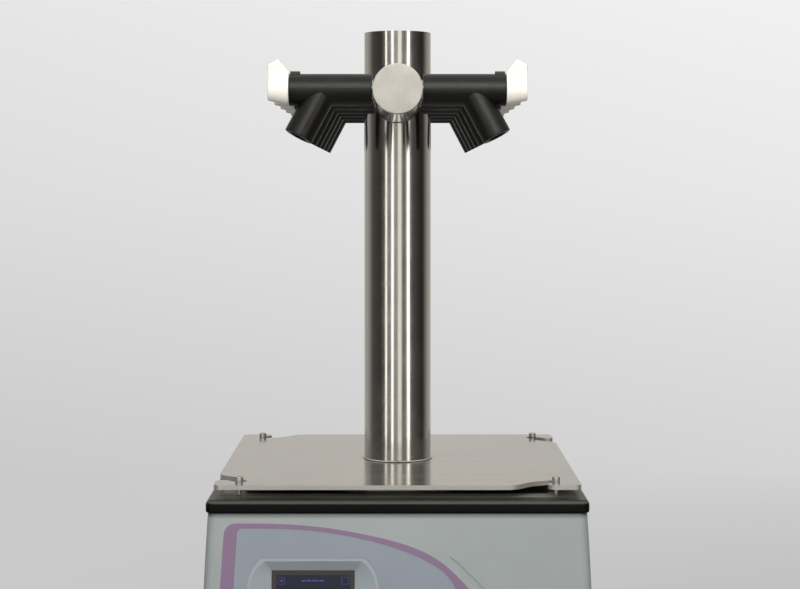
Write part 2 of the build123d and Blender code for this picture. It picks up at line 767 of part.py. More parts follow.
def fascia_form(inset, rear_y, corner_radius):
    """Envelope of the front moulding, its outer faces moved in by inset."""
    half = fascia_half_height - inset
    face_radius = front_radius - inset
    end_y = front_centre_y - sqrt(face_radius ** 2 - half ** 2)
    flank_radius = side_radius - inset
    flank_x = fascia_half_width - inset
    end_x = fascia_half_width - side_radius + sqrt(flank_radius ** 2 - half ** 2)
    top = fascia_middle_z + half
    bottom = fascia_middle_z - half
    with BuildPart() as form:
        with BuildSketch(Plane.YZ):
            with BuildLine():
                ThreePointArc((end_y, top), (front_y + inset, fascia_middle_z), (end_y, bottom))
                Polyline((end_y, bottom), (rear_y, bottom), (rear_y, top), (end_y, top))
            make_face()
        extrude(amount=fascia_half_width + overrun, both=True)
        with BuildSketch(Plane.XZ):
            with BuildLine():
                ThreePointArc((end_x, top), (flank_x, fascia_middle_z), (end_x, bottom))
                Line((end_x, bottom), (-end_x, bottom))
                ThreePointArc((-end_x, bottom), (-flank_x, fascia_middle_z), (-end_x, top))
                Line((-end_x, top), (end_x, top))
            make_face()
        extrude(amount=-fascia_end_y + fascia_front_rise + overrun, both=True, mode=Mode.INTERSECT)
        uprights = form.edges().filter_by(lambda edge: edge.length > half)
        fillet(uprights.group_by(Axis.Y)[0], radius=corner_radius)
    return form.part


def front_slab(outer_inset, inner_inset):
    """Layer that follows the bowed front, between two depths below its face."""
    ends = []
    for inset in (outer_inset, inner_inset):
        end_y = front_centre_y - sqrt((front_radius - inset) ** 2 - fascia_half_height ** 2)
        ends.append(end_y)
    top = fascia_middle_z + fascia_half_height
    bottom = fascia_middle_z - fascia_half_height
    with BuildPart() as slab:
        with BuildSketch(Plane.YZ):
            with BuildLine():
                ThreePointArc((ends[0], top), (front_y + outer_inset, fascia_middle_z), (ends[0], bottom))
                Line((ends[0], bottom), (ends[1], bottom))
                ThreePointArc((ends[1], bottom), (front_y + inner_inset, fascia_middle_z), (ends[1], top))
                Line((ends[1], top), (ends[0], top))
            make_face()
        extrude(amount=fascia_half_width + overrun, both=True)
    return slab.part


def swoosh_face(left_x, corner_x, top, curve, nose_x, corner_radius):
    """Upright teardrop that encloses the controls, the same above and below its middle."""
    with BuildSketch(swoosh_plane) as swoosh:
        with BuildLine():
            Polyline((nose_x, 0), (left_x, 0), (corner_x, top))
            Spline((corner_x, top), *curve, (nose_x, 0), tangents=((1, 0), (0, -1)))
        make_face()
        mirror(about=Plane.XZ)
        corners = swoosh.vertices().filter_by(lambda corner: abs(corner.X - corner_x) < near)
        fillet(corners, radius=corner_radius)
    return swoosh.sketch


def ridge_face():
    """Crescent that follows the band at a distance, thin at its ends and widest at its nose."""
    with BuildSketch(swoosh_plane) as ridge:
        with BuildLine():
            Spline(ridge_start, *ridge_outer_curve, (ridge_outer_nose_x, 0),
                   tangents=((1, -0.4), (0, -1)))
            Line((ridge_outer_nose_x, 0), (ridge_inner_nose_x, 0))
            Spline(ridge_start, *ridge_inner_curve, (ridge_inner_nose_x, 0),
                   tangents=((1, -0.5), (0, -1)))
        make_face()
        mirror(about=Plane.XZ)
    return ridge.sketch


def console_face(depth, margin):
    """Outline of the sunk console: flat top and bottom, rounded flanks."""
    half_top = console_top_width / 2 - margin / 2
    half_height = console_height / 2 - margin
    half_width = console_width / 2 - margin
    shoulder_x = console_shoulder[0] - shoulder_slant[0] * margin
    shoulder_y = console_shoulder[1] - shoulder_slant[1] * margin
    flank_x = console_flank[0] - margin
    flank_y = console_flank[1]
    with BuildSketch(display_plane.offset(depth)) as console:
        with BuildLine():
            for side in (-1, 1):
                Spline((side * half_top, half_height), (side * shoulder_x, shoulder_y),
                       (side * flank_x, flank_y), (side * half_width, 0),
                       (side * flank_x, -flank_y), (side * shoulder_x, -shoulder_y),
                       (side * half_top, -half_height))
            Line((-half_top, half_height), (half_top, half_height))
            Line((-half_top, -half_height), (half_top, -half_height))
        make_face()
    return console.sketch


band_face = swoosh_face(band_left_x, band_corner_x, band_top, band_curve, band_nose_x,
                        band_corner_radius)
inner_face = swoosh_face(inner_left_x, inner_corner_x, inner_top, inner_curve, inner_nose_x,
                         inner_corner_radius)
console_hole = console_face(-console_back - overrun, 0)

with BuildPart() as accent_band:
    add(front_slab(-band_proud, inlay_depth))
    extrude(band_face, amount=-front_y + overrun, mode=Mode.INTERSECT)
    extrude(inner_face, amount=-front_y + overrun, mode=Mode.SUBTRACT)
save(accent_band.part, "accent_band")

with BuildPart() as control_overlay:
    add(front_slab(0, inlay_depth))
    extrude(inner_face, amount=-front_y + overrun, mode=Mode.INTERSECT)
    extrude(console_hole, amount=console_back + 2 * overrun, mode=Mode.SUBTRACT)
save(control_overlay.part, "control_overlay")

with BuildPart() as ridge_bead:
    add(front_slab(-ridge_height, inlay_depth))
    extrude(ridge_face(), amount=-front_y + overrun, mode=Mode.INTERSECT)

with BuildPart() as inlay_recess:
    add(front_slab(-ridge_height, inlay_depth))
    extrude(band_face, amount=-front_y + overrun, mode=Mode.INTERSECT)

with BuildPart() as front_fascia:
    add(fascia_form(0, fascia_rear_y, fascia_corner_radius))
    top_rim = front_fascia.edges().group_by(Axis.Z)[-1]
    fillet(top_rim.filter_by(lambda edge: edge.center().Y < fascia_rear_y - near), radius=fascia_top_round)
    add(fascia_form(fascia_wall, fascia_rear_y + overrun, fascia_corner_radius - fascia_wall),
        mode=Mode.SUBTRACT)
    with BuildSketch(Plane.XZ.offset(-panel_front_y)):
        with Locations((0, (foot_height + cap_bottom_z - fascia_wall) / 2)):
            Rectangle(panel_width + 2 * panel_clearance, cap_bottom_z - fascia_wall - foot_height)
    extrude(amount=panel_front_y - fascia_rear_y - overrun, mode=Mode.SUBTRACT)
    add(ridge_bead.part)
    add(inlay_recess.part, mode=Mode.SUBTRACT)
    extrude(console_hole, amount=console_back + 2 * overrun, mode=Mode.SUBTRACT)
save(front_fascia.part, "front_fascia")

# ==================================== display and controls ====================================

with BuildPart() as display_bezel:
    extrude(console_face(overrun, console_clearance), amount=-overrun - console_back)
    add(front_slab(0, -front_y), mode=Mode.INTERSECT)
    with BuildSketch(display_plane.offset(-console_back)):
        Rectangle(console_width + 2 * console_flange, console_height + 2 * console_flange)
    extrude(amount=console_flange_thickness)
    with BuildSketch(display_plane.offset(console_lip)):
        with BuildLine():
            rim = [(console_top_width / 2 - console_rim, console_height / 2 - console_rim),
                   (console_width / 2 - console_rim, 0)]
            flare = [(console_shoulder[0] - console_rim, console_shoulder[1] - console_rim / 2)]
            for side in (-1, 1):
                Spline((side * rim[0][0], rim[0][1]), (side * flare[0][0], flare[0][1]),
                       (side * rim[1][0], 0), (side * flare[0][0], -flare[0][1]),
                       (side * rim[0][0], -rim[0][1]))
            Line((-rim[0][0], rim[0][1]), rim[0])
            Line((-rim[0][0], -rim[0][1]), (rim[0][0], -rim[0][1]))
        make_face()
    with BuildSketch(display_plane.offset(-console_depth)):
        Rectangle(frame_width, frame_height)
    loft(ruled=True, mode=Mode.SUBTRACT)
    with BuildSketch(display_plane.offset(-console_depth)):
        Rectangle(frame_width, frame_height)
    extrude(amount=-console_back, mode=Mode.SUBTRACT)
save(display_bezel.part, "display_bezel")

with BuildPart() as display_module:
    with BuildSketch(display_plane.offset(frame_front)):
        Rectangle(frame_width, frame_height)
    extrude(amount=-console_back - frame_front)
    with BuildSketch(display_plane.offset(-console_back)):
        Rectangle(frame_width + 2 * module_plate_margin, frame_height + 2 * module_plate_margin)
    extrude(amount=-module_plate_thickness)
    with BuildSketch(display_plane.offset(frame_front)):
        Rectangle(glass_width, glass_height)
    extrude(amount=-glass_sink - glass_thickness, mode=Mode.SUBTRACT)
save(display_module.part, "display_module")

with BuildPart() as display_glass:
    with BuildSketch(display_plane.offset(frame_front - glass_sink)):
        Rectangle(glass_width, glass_height)
    extrude(amount=-glass_thickness)
save(display_glass.part, "display_glass")

with BuildPart() as control_board:
    with BuildSketch(display_plane.offset(board_front)):
        Rectangle(board_width, board_height)
    extrude(amount=-board_thickness)
    with BuildSketch(display_plane.offset(board_front)):
        with GridLocations(frame_width, frame_height, 2, 2):
            Circle(standoff_radius)
    extrude(amount=board_standoff)
    with BuildSketch(display_plane.offset(board_front - board_thickness)):
        with GridLocations(chip_pitch_x, chip_pitch_z, 3, 2):
            Rectangle(chip_width, chip_height)
        with Locations((0, board_height / 2 - connector_inset)):
            Rectangle(connector_width, connector_height)
    extrude(amount=-component_height)
save(control_board.part, "control_board")

# ===================================== condenser chamber =====================================

drain_plane_start = Plane(origin=(0, 0, chamber_floor_z - chamber_wall), z_dir=(0, 0, -1))

with BuildPart() as drain_pipe:
    with BuildLine() as drain_path:
        FilletPolyline((0, 0, chamber_floor_z - chamber_wall), (0, 0, drain_pipe_z),
                       (0, valve_block_y, drain_pipe_z), radius=drain_bend_radius)
    with BuildSketch(drain_plane_start):
        Circle(drain_pipe_radius)
        Circle(drain_pipe_bore, mode=Mode.SUBTRACT)
    sweep(path=drain_path.wires()[0])

with BuildPart() as condenser_chamber:
    with BuildSketch(Plane.XY.offset(chamber_floor_z - chamber_wall)):
        Circle(chamber_outer_radius)
    extrude(amount=chamber_depth + chamber_wall)
    with BuildSketch(Plane.XY.offset(cap_top_z)):
        Circle(chamber_flange_diameter / 2)
    extrude(amount=chamber_flange_thickness)
    with BuildSketch(Plane.XY.offset(chamber_floor_z)):
        Circle(chamber_radius)
    extrude(amount=chamber_depth, mode=Mode.SUBTRACT)
    with Locations(Location((0, chamber_radius, vacuum_pipe_z), (90, 0, 0))):
        Cylinder(vacuum_bore_radius, 8 * chamber_wall, mode=Mode.SUBTRACT)
    with Locations((0, 0, chamber_floor_z)):
        Cylinder(drain_pipe_bore, 4 * chamber_wall, mode=Mode.SUBTRACT)
    add(drain_pipe.part)
save(condenser_chamber.part, "condenser_chamber")

with BuildPart() as chamber_gasket:
    with BuildSketch(Plane.XZ):
        with BuildLine():
            inner_r = gasket_inner_diameter / 2
            outer_r = gasket_outer_diameter / 2
            gasket_top_z = chamber_top_z + gasket_height
            lip_r = (inner_r + outer_r) / 2
            Polyline((inner_r, chamber_top_z), (outer_r, chamber_top_z),
                     (outer_r, gasket_top_z - gasket_lip), (lip_r + gasket_lip / 2, gasket_top_z),
                     (lip_r - gasket_lip / 2, gasket_top_z), (inner_r, gasket_top_z - gasket_lip),
                     close=True)
        make_face()
    revolve(axis=Axis.Z)
save(chamber_gasket.part, "chamber_gasket")

with BuildPart() as vacuum_port:
    pipe_plane = Plane(origin=(0, 0, vacuum_pipe_z), z_dir=(0, 1, 0))
    with BuildSketch(pipe_plane):
        Circle(vacuum_pipe_radius)
    extrude(amount=vacuum_end_y)
    with BuildSketch(Plane.YZ) as clamp_side:
        with BuildLine():
            lip_y = vacuum_end_y - vacuum_flange_thickness
            Polyline((lip_y - vacuum_flange_cone, vacuum_pipe_z), (vacuum_end_y, vacuum_pipe_z),
                     (vacuum_end_y, vacuum_pipe_z + vacuum_flange_radius),
                     (lip_y, vacuum_pipe_z + vacuum_flange_radius),
                     (lip_y - vacuum_flange_cone, vacuum_pipe_z + vacuum_pipe_radius), close=True)
        make_face()
    revolve(axis=Axis((0, 0, vacuum_pipe_z), (0, 1, 0)))
    with BuildSketch(pipe_plane):
        Circle(vacuum_bore_radius)
    extrude(amount=vacuum_end_y, mode=Mode.SUBTRACT)
    with Locations((0, 0, chamber_floor_z)):
        Cylinder(chamber_outer_radius, 2 * chamber_depth, mode=Mode.SUBTRACT)
save(vacuum_port.part, "vacuum_port")

with BuildPart() as chamber_insulation:
    with BuildSketch(Plane.XY.offset(insulation_bottom_z)):
        Circle(insulation_diameter / 2)
    extrude(amount=cap_top_z - cap_wall - insulation_bottom_z)
    with BuildSketch(Plane.XY.offset(chamber_floor_z - chamber_wall)):
        Circle(insulation_bore)
    extrude(amount=chamber_depth, mode=Mode.SUBTRACT)
    with Locations((0, 0, insulation_bottom_z)):
        Cylinder(drain_pipe_radius + hole_clearance, 4 * insulation_floor, mode=Mode.SUBTRACT)
    with Locations((*suction_place, insulation_bottom_z), (*liquid_place, insulation_bottom_z)):
        Cylinder(line_radius + hole_clearance, 2 * insulation_floor, mode=Mode.SUBTRACT)
    with BuildSketch(pipe_plane):
        Circle(vacuum_pipe_radius + hole_clearance)
    extrude(amount=insulation_diameter, mode=Mode.SUBTRACT)
save(chamber_insulation.part, "chamber_insulation")

with BuildPart() as evaporator_coil:
    with BuildLine():
        coil_path = Helix(coil_pitch, coil_pitch * coil_turns, coil_radius, center=(0, 0, coil_bottom_z))
    with BuildSketch(Plane(origin=coil_path @ 0, z_dir=coil_path % 0)):
        Circle(coil_tube_diameter / 2)
    sweep(path=coil_path, is_frenet=True)
save(evaporator_coil.part, "evaporator_coil")

# ========================================= drain valve =========================================

with BuildPart() as drain_valve:
    block_middle_y = valve_block_y + valve_block_length / 2
    with Locations((0, block_middle_y, drain_pipe_z)):
        Box(valve_block_width, valve_block_length, valve_block_height)
    chamfer(drain_valve.edges().filter_by(Axis.Y), length=valve_block_chamfer)
    block_bottom_z = drain_pipe_z - valve_block_height / 2
    with BuildSketch(Plane.XZ.offset(-block_middle_y)) as barb_side:
        with BuildLine():
            ring_pitch = barb_length / (barb_count + 1)
            barb_points = [(0, block_bottom_z), (barb_radius, block_bottom_z)]
            for index in range(barb_count):
                ring_z = block_bottom_z - ring_pitch * (index + 1)
                barb_points.append((barb_radius, ring_z))
                barb_points.append((barb_radius + barb_ring_rise, ring_z))
                barb_points.append((barb_radius, ring_z - ring_pitch / 2))
            barb_points.append((barb_radius, block_bottom_z - barb_length))
            barb_points.append((0, block_bottom_z - barb_length))
            Polyline(*barb_points, close=True)
        make_face()
    revolve(axis=Axis((0, block_middle_y, 0), (0, 0, 1)))
    with Locations((0, block_middle_y, drain_pipe_z)):
        Cylinder(stem_radius, valve_block_height / 2 + stem_height,
                 align=(Align.CENTER, Align.CENTER, Align.MIN))
        Cylinder(barb_bore_radius, valve_block_height / 2 + barb_length,
                 align=(Align.CENTER, Align.CENTER, Align.MAX), mode=Mode.SUBTRACT)
    with BuildSketch(Plane(origin=(0, valve_block_y, drain_pipe_z), z_dir=(0, 1, 0))):
        Circle(barb_bore_radius)
    extrude(amount=valve_block_length / 2, mode=Mode.SUBTRACT)
save(drain_valve.part, "drain_valve")

with BuildPart() as drain_lever:
    with BuildSketch(Plane.XY.offset(lever_plane_z)):
        with Locations((lever_length / 2 - lever_width / 2, block_middle_y)):
            SlotOverall(lever_length, lever_width)
        with Locations((0, block_middle_y)):
            Circle(stem_radius + lever_bore_clearance, mode=Mode.SUBTRACT)
    extrude(amount=lever_thickness)
save(drain_lever.part, "drain_lever")

# ================================== power inlet and its switch ==================================

rocker_centre = (0, rocker_rise)
rocker_pivot_w = module_flange_thickness - rocker_pivot_depth
rocker_width = rocker_window_width - 2 * rocker_clearance

with BuildPart() as power_inlet:
    with BuildSketch(module_plane):
        RectangleRounded(module_width, module_height, module_corner_radius)
    extrude(amount=module_flange_thickness)
    with BuildSketch(module_plane):
        Rectangle(module_body_width, module_body_height)
    extrude(amount=-module_body_depth)
    with BuildSketch(module_plane.offset(module_flange_thickness)):
        with Locations((0, -inlet_drop)):
            Rectangle(inlet_width, inlet_height)
    extrude(amount=-inlet_depth, mode=Mode.SUBTRACT)
    with BuildSketch(module_plane.offset(module_flange_thickness - inlet_depth)):
        with Locations((-pin_spacing, -inlet_drop - pin_stagger), (0, -inlet_drop + pin_stagger),
                       (pin_spacing, -inlet_drop - pin_stagger)):
            Rectangle(pin_width, pin_height)
    extrude(amount=inlet_depth - pin_sink)
    with BuildSketch(module_plane.offset(module_flange_thickness)):
        with Locations(rocker_centre):
            Rectangle(rocker_window_width, rocker_window_height)
    extrude(amount=-inlet_depth, mode=Mode.SUBTRACT)
    with Locations(Location((module_x, rear_face_y + rocker_pivot_w, module_z + rocker_rise), (0, 90, 0))):
        Cylinder(rocker_pin_radius + pivot_clearance, rocker_width + 2 * rocker_pin_length + 2 * pin_end_gap,
                 mode=Mode.SUBTRACT)
save(power_inlet.part, "power_inlet")

with BuildPart() as power_rocker:
    rocker_plane = Plane(
        origin=(module_x, rear_face_y + rocker_pivot_w, module_z + rocker_rise),
        x_dir=(0, sin(radians(rocker_tilt)), cos(radians(rocker_tilt))),
        z_dir=(1, 0, 0),
    )
    half_rocker = rocker_window_height / 2 - rocker_end_gap
    end_v = -rocker_pivot_depth - rocker_end_rise
    with BuildSketch(rocker_plane) as rocker_side:
        with BuildLine():
            Polyline((-half_rocker, end_v), (0, -rocker_pivot_depth + rocker_dip), (half_rocker, end_v),
                     (half_rocker - rocker_back, rocker_back), (-half_rocker + rocker_back, rocker_back),
                     close=True)
        make_face()
        fillet(rocker_side.vertices(), radius=rocker_round)
    extrude(amount=rocker_width / 2, both=True)
    with BuildSketch(rocker_plane):
        Circle(rocker_pin_radius)
    extrude(amount=rocker_width / 2 + rocker_pin_length, both=True)
save(power_rocker.part, "power_rocker")

# ======================================== refrigeration ========================================

with BuildPart() as compressor_grommets:
    with BuildSketch(Plane.XY.offset(pan_top_z)):
        with Locations((compressor_x, compressor_y)):
            with GridLocations(grommet_pitch, grommet_pitch, 2, 2):
                Circle(grommet_radius)
    extrude(amount=grommet_height)
    chamfer(compressor_grommets.edges().group_by(Axis.Z)[0], length=grommet_chamfer)
save(compressor_grommets.part, "compressor_grommets")

with BuildPart() as compressor:
    with BuildSketch(Plane.XY.offset(compressor_bottom_z)):
        with Locations((compressor_x, compressor_y)):
            RectangleRounded(compressor_foot_width, compressor_foot_width, grommet_radius)
    extrude(amount=compressor_foot_thickness)
    shell_plane = Plane.XY.offset(compressor_bottom_z + compressor_foot_thickness)
    with BuildSketch(shell_plane):
        with Locations((compressor_x, compressor_y)):
            Circle(compressor_radius)
    extrude(amount=compressor_height - compressor_foot_thickness)
    fillet(compressor.edges().group_by(Axis.Z)[-1], radius=compressor_dome)
    with Locations((compressor_x, compressor_y, compressor_top_z - compressor_dome - seam_drop)):
        Cylinder(compressor_radius + seam_width, 2 * seam_width)
save(compressor.part, "compressor")

with BuildPart() as radiator:
    radiator_middle_y = (radiator_front_y + radiator_rear_y) / 2
    fin_count = int(radiator_width / fin_pitch) + 1
    with Locations((fan_x, radiator_middle_y, fan_z)):
        with GridLocations(fin_pitch, 0, fin_count, 1):
            Box(fin_thickness, radiator_depth, radiator_height)
    tube_pitch = radiator_height / tube_rows
    tube_span = fin_pitch * (fin_count - 1) + 2 * return_bend_reach
    with Locations([Location((fan_x, radiator_middle_y, fan_z + tube_pitch * (row - (tube_rows - 1) / 2)),
                             (0, 90, 0)) for row in range(tube_rows)]):
        Cylinder(radiator_tube_radius, tube_span)
    with Locations([Location((fan_x + side * tube_span / 2, radiator_middle_y,
                              fan_z + tube_pitch * (row + 1 - tube_rows / 2)))
                    for side in (-1, 1) for row in range(side > 0, tube_rows - 1, 2)]):
        Box(2 * radiator_tube_radius, 2 * radiator_tube_radius, tube_pitch + 2 * radiator_tube_radius)
    with Locations((fan_x, radiator_middle_y, (pan_top_z + fan_z - radiator_height / 2) / 2)):
        Box(radiator_width * radiator_stand_share, radiator_depth, fan_z - radiator_height / 2 - pan_top_z)
save(radiator.part, "radiator")

with BuildPart() as fan_frame:
    with BuildSketch(fan_plane):
        Rectangle(radiator_width, radiator_height)
    extrude(amount=shroud_depth)
    with BuildSketch(fan_plane.offset(shroud_thickness)):
        Rectangle(radiator_width - 2 * shroud_thickness, radiator_height - 2 * shroud_thickness)
    extrude(amount=shroud_depth, mode=Mode.SUBTRACT)
    with BuildSketch(fan_plane):
        Circle(fan_duct_radius)
    extrude(amount=shroud_thickness, mode=Mode.SUBTRACT)
    with BuildSketch(fan_plane.offset(-motor_depth)):
        Circle(motor_radius)
    extrude(amount=motor_depth - motor_gap)
    with BuildSketch(fan_plane.offset(-shroud_thickness - motor_gap)):
        with PolarLocations(0, 2):
            Rectangle(motor_strut_width, 2 * fan_duct_radius + 2 * motor_strut_width)
        with PolarLocations(0, 2, start_angle=90):
            Rectangle(motor_strut_width, 2 * fan_duct_radius + 2 * motor_strut_width)
    extrude(amount=shroud_thickness)
    with BuildSketch(fan_plane.offset(-shroud_thickness - strut_pad_gap)):
        with PolarLocations(fan_duct_radius + motor_strut_width / 2, 4, start_angle=0):
            Circle(motor_strut_width / 2)
    extrude(amount=shroud_thickness + strut_pad_gap)
    with BuildSketch(fan_plane.offset(-shaft_root)):
        Circle(shaft_radius)
    extrude(amount=shaft_root + fan_hub_depth)
save(fan_frame.part, "fan_frame")

with BuildPart() as fan_rotor:
    with BuildSketch(fan_plane):
        Circle(fan_hub_radius)
    extrude(amount=fan_hub_depth)
    blade_middle = (fan_radius + fan_hub_radius) / 2
    for index in range(fan_blades):
        spin = 360 / fan_blades * index
        blade_place = fan_plane.location * Location((0, 0, fan_hub_depth / 2), (0, 0, spin))
        blade_tilt = Location((blade_middle - fan_blade_root, 0, 0), (fan_blade_twist, 0, 0))
        with Locations(blade_place * blade_tilt):
            Box(fan_radius - fan_hub_radius + fan_blade_root, fan_hub_depth, fan_blade_thickness)
    with BuildSketch(fan_plane):
        Circle(shaft_radius + shaft_clearance)
    extrude(amount=fan_hub_depth, mode=Mode.SUBTRACT)
save(fan_rotor.part, "fan_rotor")


def coil_underside(angle):
    """Height just below the coil's first turn, at an angle from +X."""
    return coil_bottom_z + coil_pitch * angle / 360 - coil_tube_diameter / 2 - coil_clearance


def pipe(points):
    """Round line along straight runs with equal bends, as one solid."""
    with BuildPart() as line:
        with BuildLine() as route:
            FilletPolyline(*points, radius=line_bend)
        with BuildSketch(Plane(origin=route.line @ 0, z_dir=route.line % 0)):
            Circle(line_radius)
        sweep(path=route.wires()[0])
    return line.part


radiator_end_x = fan_x + tube_span / 2
top_row_z = fan_z + tube_pitch * (tube_rows - 1) / 2
bottom_row_z = fan_z - tube_pitch * (tube_rows - 1) / 2
discharge_x = compressor_x + compressor_radius / 3
discharge_z = compressor_top_z + discharge_rise

with BuildPart() as refrigerant_lines:
    with BuildSketch(Plane.XY.offset(compressor_top_z)):
        with Locations(suction_place):
            Circle(line_radius)
    extrude(amount=coil_underside(suction_angle) - compressor_top_z)
    add(pipe([(discharge_x, compressor_y, compressor_top_z), (discharge_x, compressor_y, discharge_z),
              (discharge_x, radiator_middle_y, discharge_z), (liquid_x, radiator_middle_y, discharge_z),
              (liquid_x, radiator_middle_y, top_row_z), (radiator_end_x, radiator_middle_y, top_row_z)]))
    add(pipe([(radiator_end_x, radiator_middle_y, bottom_row_z), (liquid_x, radiator_middle_y, bottom_row_z),
              (liquid_x, liquid_place[1], bottom_row_z),
              (liquid_x, liquid_place[1], coil_underside(liquid_angle))]))
    with Locations((*liquid_place, bottom_row_z + filter_length)):
        Cylinder(filter_radius, filter_length)
save(refrigerant_lines.part, "refrigerant_lines")
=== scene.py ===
import math
from functools import partial

import bmesh
import bpy
from bpy.props import FloatProperty, FloatVectorProperty, PointerProperty, StringProperty
from bpy.types import Operator, Panel, PropertyGroup
from mathutils import Matrix, Vector


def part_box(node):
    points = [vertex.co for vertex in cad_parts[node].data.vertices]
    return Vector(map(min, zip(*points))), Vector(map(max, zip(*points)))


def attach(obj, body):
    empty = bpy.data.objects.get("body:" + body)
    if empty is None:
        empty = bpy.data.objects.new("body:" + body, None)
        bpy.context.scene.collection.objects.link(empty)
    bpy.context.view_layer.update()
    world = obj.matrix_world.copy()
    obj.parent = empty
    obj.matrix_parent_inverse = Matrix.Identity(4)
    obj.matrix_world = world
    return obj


bl_info = {
    "name": "Freeze Dryer",
    "version": (1, 0, 0),
    "blender": (4, 5, 0),
    "location": "3D View > Sidebar > Freeze Dryer",
    "description": "Finishes, small pieces and studio of a laboratory freeze dryer",
    "category": "Object",
}

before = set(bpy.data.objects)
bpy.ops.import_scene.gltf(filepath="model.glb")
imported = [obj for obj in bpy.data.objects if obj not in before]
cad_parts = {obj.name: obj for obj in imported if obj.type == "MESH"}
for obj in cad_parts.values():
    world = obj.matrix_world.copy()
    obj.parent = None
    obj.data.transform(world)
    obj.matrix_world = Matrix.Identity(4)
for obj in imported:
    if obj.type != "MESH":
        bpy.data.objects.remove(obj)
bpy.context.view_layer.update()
MM = 0.001


# ------------------------------------------------------------------ sizes and colours


def colour(name, description, default):
    """A colour setting."""
    return FloatVectorProperty(
        name=name, description=description, default=default, subtype="COLOR", size=3, min=0, max=1
    )


def length(name, description, default):
    """A length setting, in metres."""
    return FloatProperty(name=name, description=description, default=default, unit="LENGTH", min=0)


def share(name, description, default):
    """A setting between nothing and all."""
    return FloatProperty(
        name=name, description=description, default=default, subtype="FACTOR", min=0, max=1
    )


def strength(name, description, default):
    """A factor on a light."""
    return FloatProperty(name=name, description=description, default=default, min=0)


def power(name, description, default):
    """A lamp's power, in watts."""
    return FloatProperty(name=name, description=description, default=default, unit="POWER", min=0)


class SteelFinish(PropertyGroup):
    tube: colour("Tube", "Polished stainless tube", (0.60, 0.585, 0.555))
    plate: colour("Plate", "Rolled stainless plate", (0.405, 0.393, 0.368))
    disc: colour("Disc", "Satin stainless discs", (0.52, 0.507, 0.472))
    bead: colour("Weld", "Weld metal with its straw tint", (0.36, 0.31, 0.24))
    blued: colour("Blued weld", "Weld metal where it turned blue", (0.22, 0.23, 0.27))
    bolt: colour("Bolt", "Bolts and screws", (0.60, 0.58, 0.55))
    tube_roughness: share("Tube roughness", "Roughness of the polished tube", 0.13)
    plate_roughness: share("Plate roughness", "Roughness of the plate", 0.12)
    disc_roughness: share("Disc roughness", "Roughness of the satin discs", 0.42)
    bead_radius: length("Weld radius", "Radius of the weld round the cross tube", 0.0009)


class MouldedFinish(PropertyGroup):
    rubber: colour("Rubber", "Valve bodies", (0.0028, 0.0028, 0.0027))
    knob: colour("Knob", "Valve knobs", (0.93, 0.92, 0.86))
    cap: colour("Cap", "Moulded cap on the cabinet", (0.0018, 0.0018, 0.0021))
    # The cap's dust colour is also painted light: it brightens the strip of the cap's top that a
    # low lamp in front would light.
    dust: colour("Dust", "Dust on the cap's upper face", (0.255, 0.255, 0.227))
    fascia: colour("Fascia", "Front moulding", (0.292, 0.325, 0.332))
    band: colour("Band", "Inlaid band", (0.205, 0.130, 0.228))
    overlay: colour("Overlay", "Control overlay", (0.230, 0.262, 0.312))
    bezel: colour("Bezel", "Sunk console", (0.285, 0.325, 0.362))
    display_frame: colour("Display frame", "Rim of the display", (0.026, 0.025, 0.026))
    screen: colour("Screen", "Dark screen", (0.0045, 0.006, 0.0125))
    panel: colour("Panel", "Coated sheet panels", (0.285, 0.318, 0.315))
    soft_black: colour("Soft black", "Gasket, feet and grommets", (0.016, 0.016, 0.017))


class MachineryFinish(PropertyGroup):
    copper: colour("Copper", "Coil and refrigerant lines", (0.72, 0.33, 0.19))
    aluminium: colour("Aluminium", "Radiator fins", (0.62, 0.63, 0.65))
    shroud: colour("Shroud", "Fan shroud", (0.10, 0.105, 0.11))
    compressor: colour("Compressor", "Compressor shell", (0.010, 0.010, 0.011))
    foam: colour("Foam", "Poured insulation", (0.78, 0.66, 0.42))
    board: colour("Board", "Circuit board", (0.012, 0.11, 0.035))
    component: colour("Component", "Components on the board", (0.012, 0.012, 0.013))
    brass: colour("Brass", "Drain valve", (0.62, 0.43, 0.17))
    grip: colour("Grip", "Drain lever", (0.02, 0.055, 0.20))
    plastic: colour("Plastic", "Inlet and fan", (0.014, 0.014, 0.015))


class ScreenMarks(PropertyGroup):
    ink: colour("Ink", "Marks on the screen", (0.042, 0.034, 0.17))
    bright: colour("Figures", "Figures on the screen", (0.11, 0.12, 0.42))
    lift: length("Lift", "Height of a mark above the screen", 0.00003)
    thickness: length("Thickness", "Thickness of a mark", 0.00004)
    upper: StringProperty(name="Upper figures", description="Upper reading", default="-50")
    lower: StringProperty(name="Lower figures", description="Lower reading", default="0.12")
    figure_height: length("Figure height", "Height of the figures", 0.0085)


class RatingPlate(PropertyGroup):
    width: length("Width", "Width of the blank plate", 0.090)
    height: length("Height", "Height of the blank plate", 0.046)
    thickness: length("Thickness", "Thickness of the blank plate", 0.0006)
    rivet: length("Rivet", "Radius of a rivet head", 0.0019)
    foil: colour("Foil", "Blank plate", (0.55, 0.56, 0.57))
    rivet_steel: colour("Rivet steel", "Rivet heads", (0.5, 0.5, 0.5))
    from_left: length("Inset", "Plate's centre from the rear panel's edge", 0.085)
    from_top: length("Drop", "Plate's centre from the rear panel's top", 0.095)


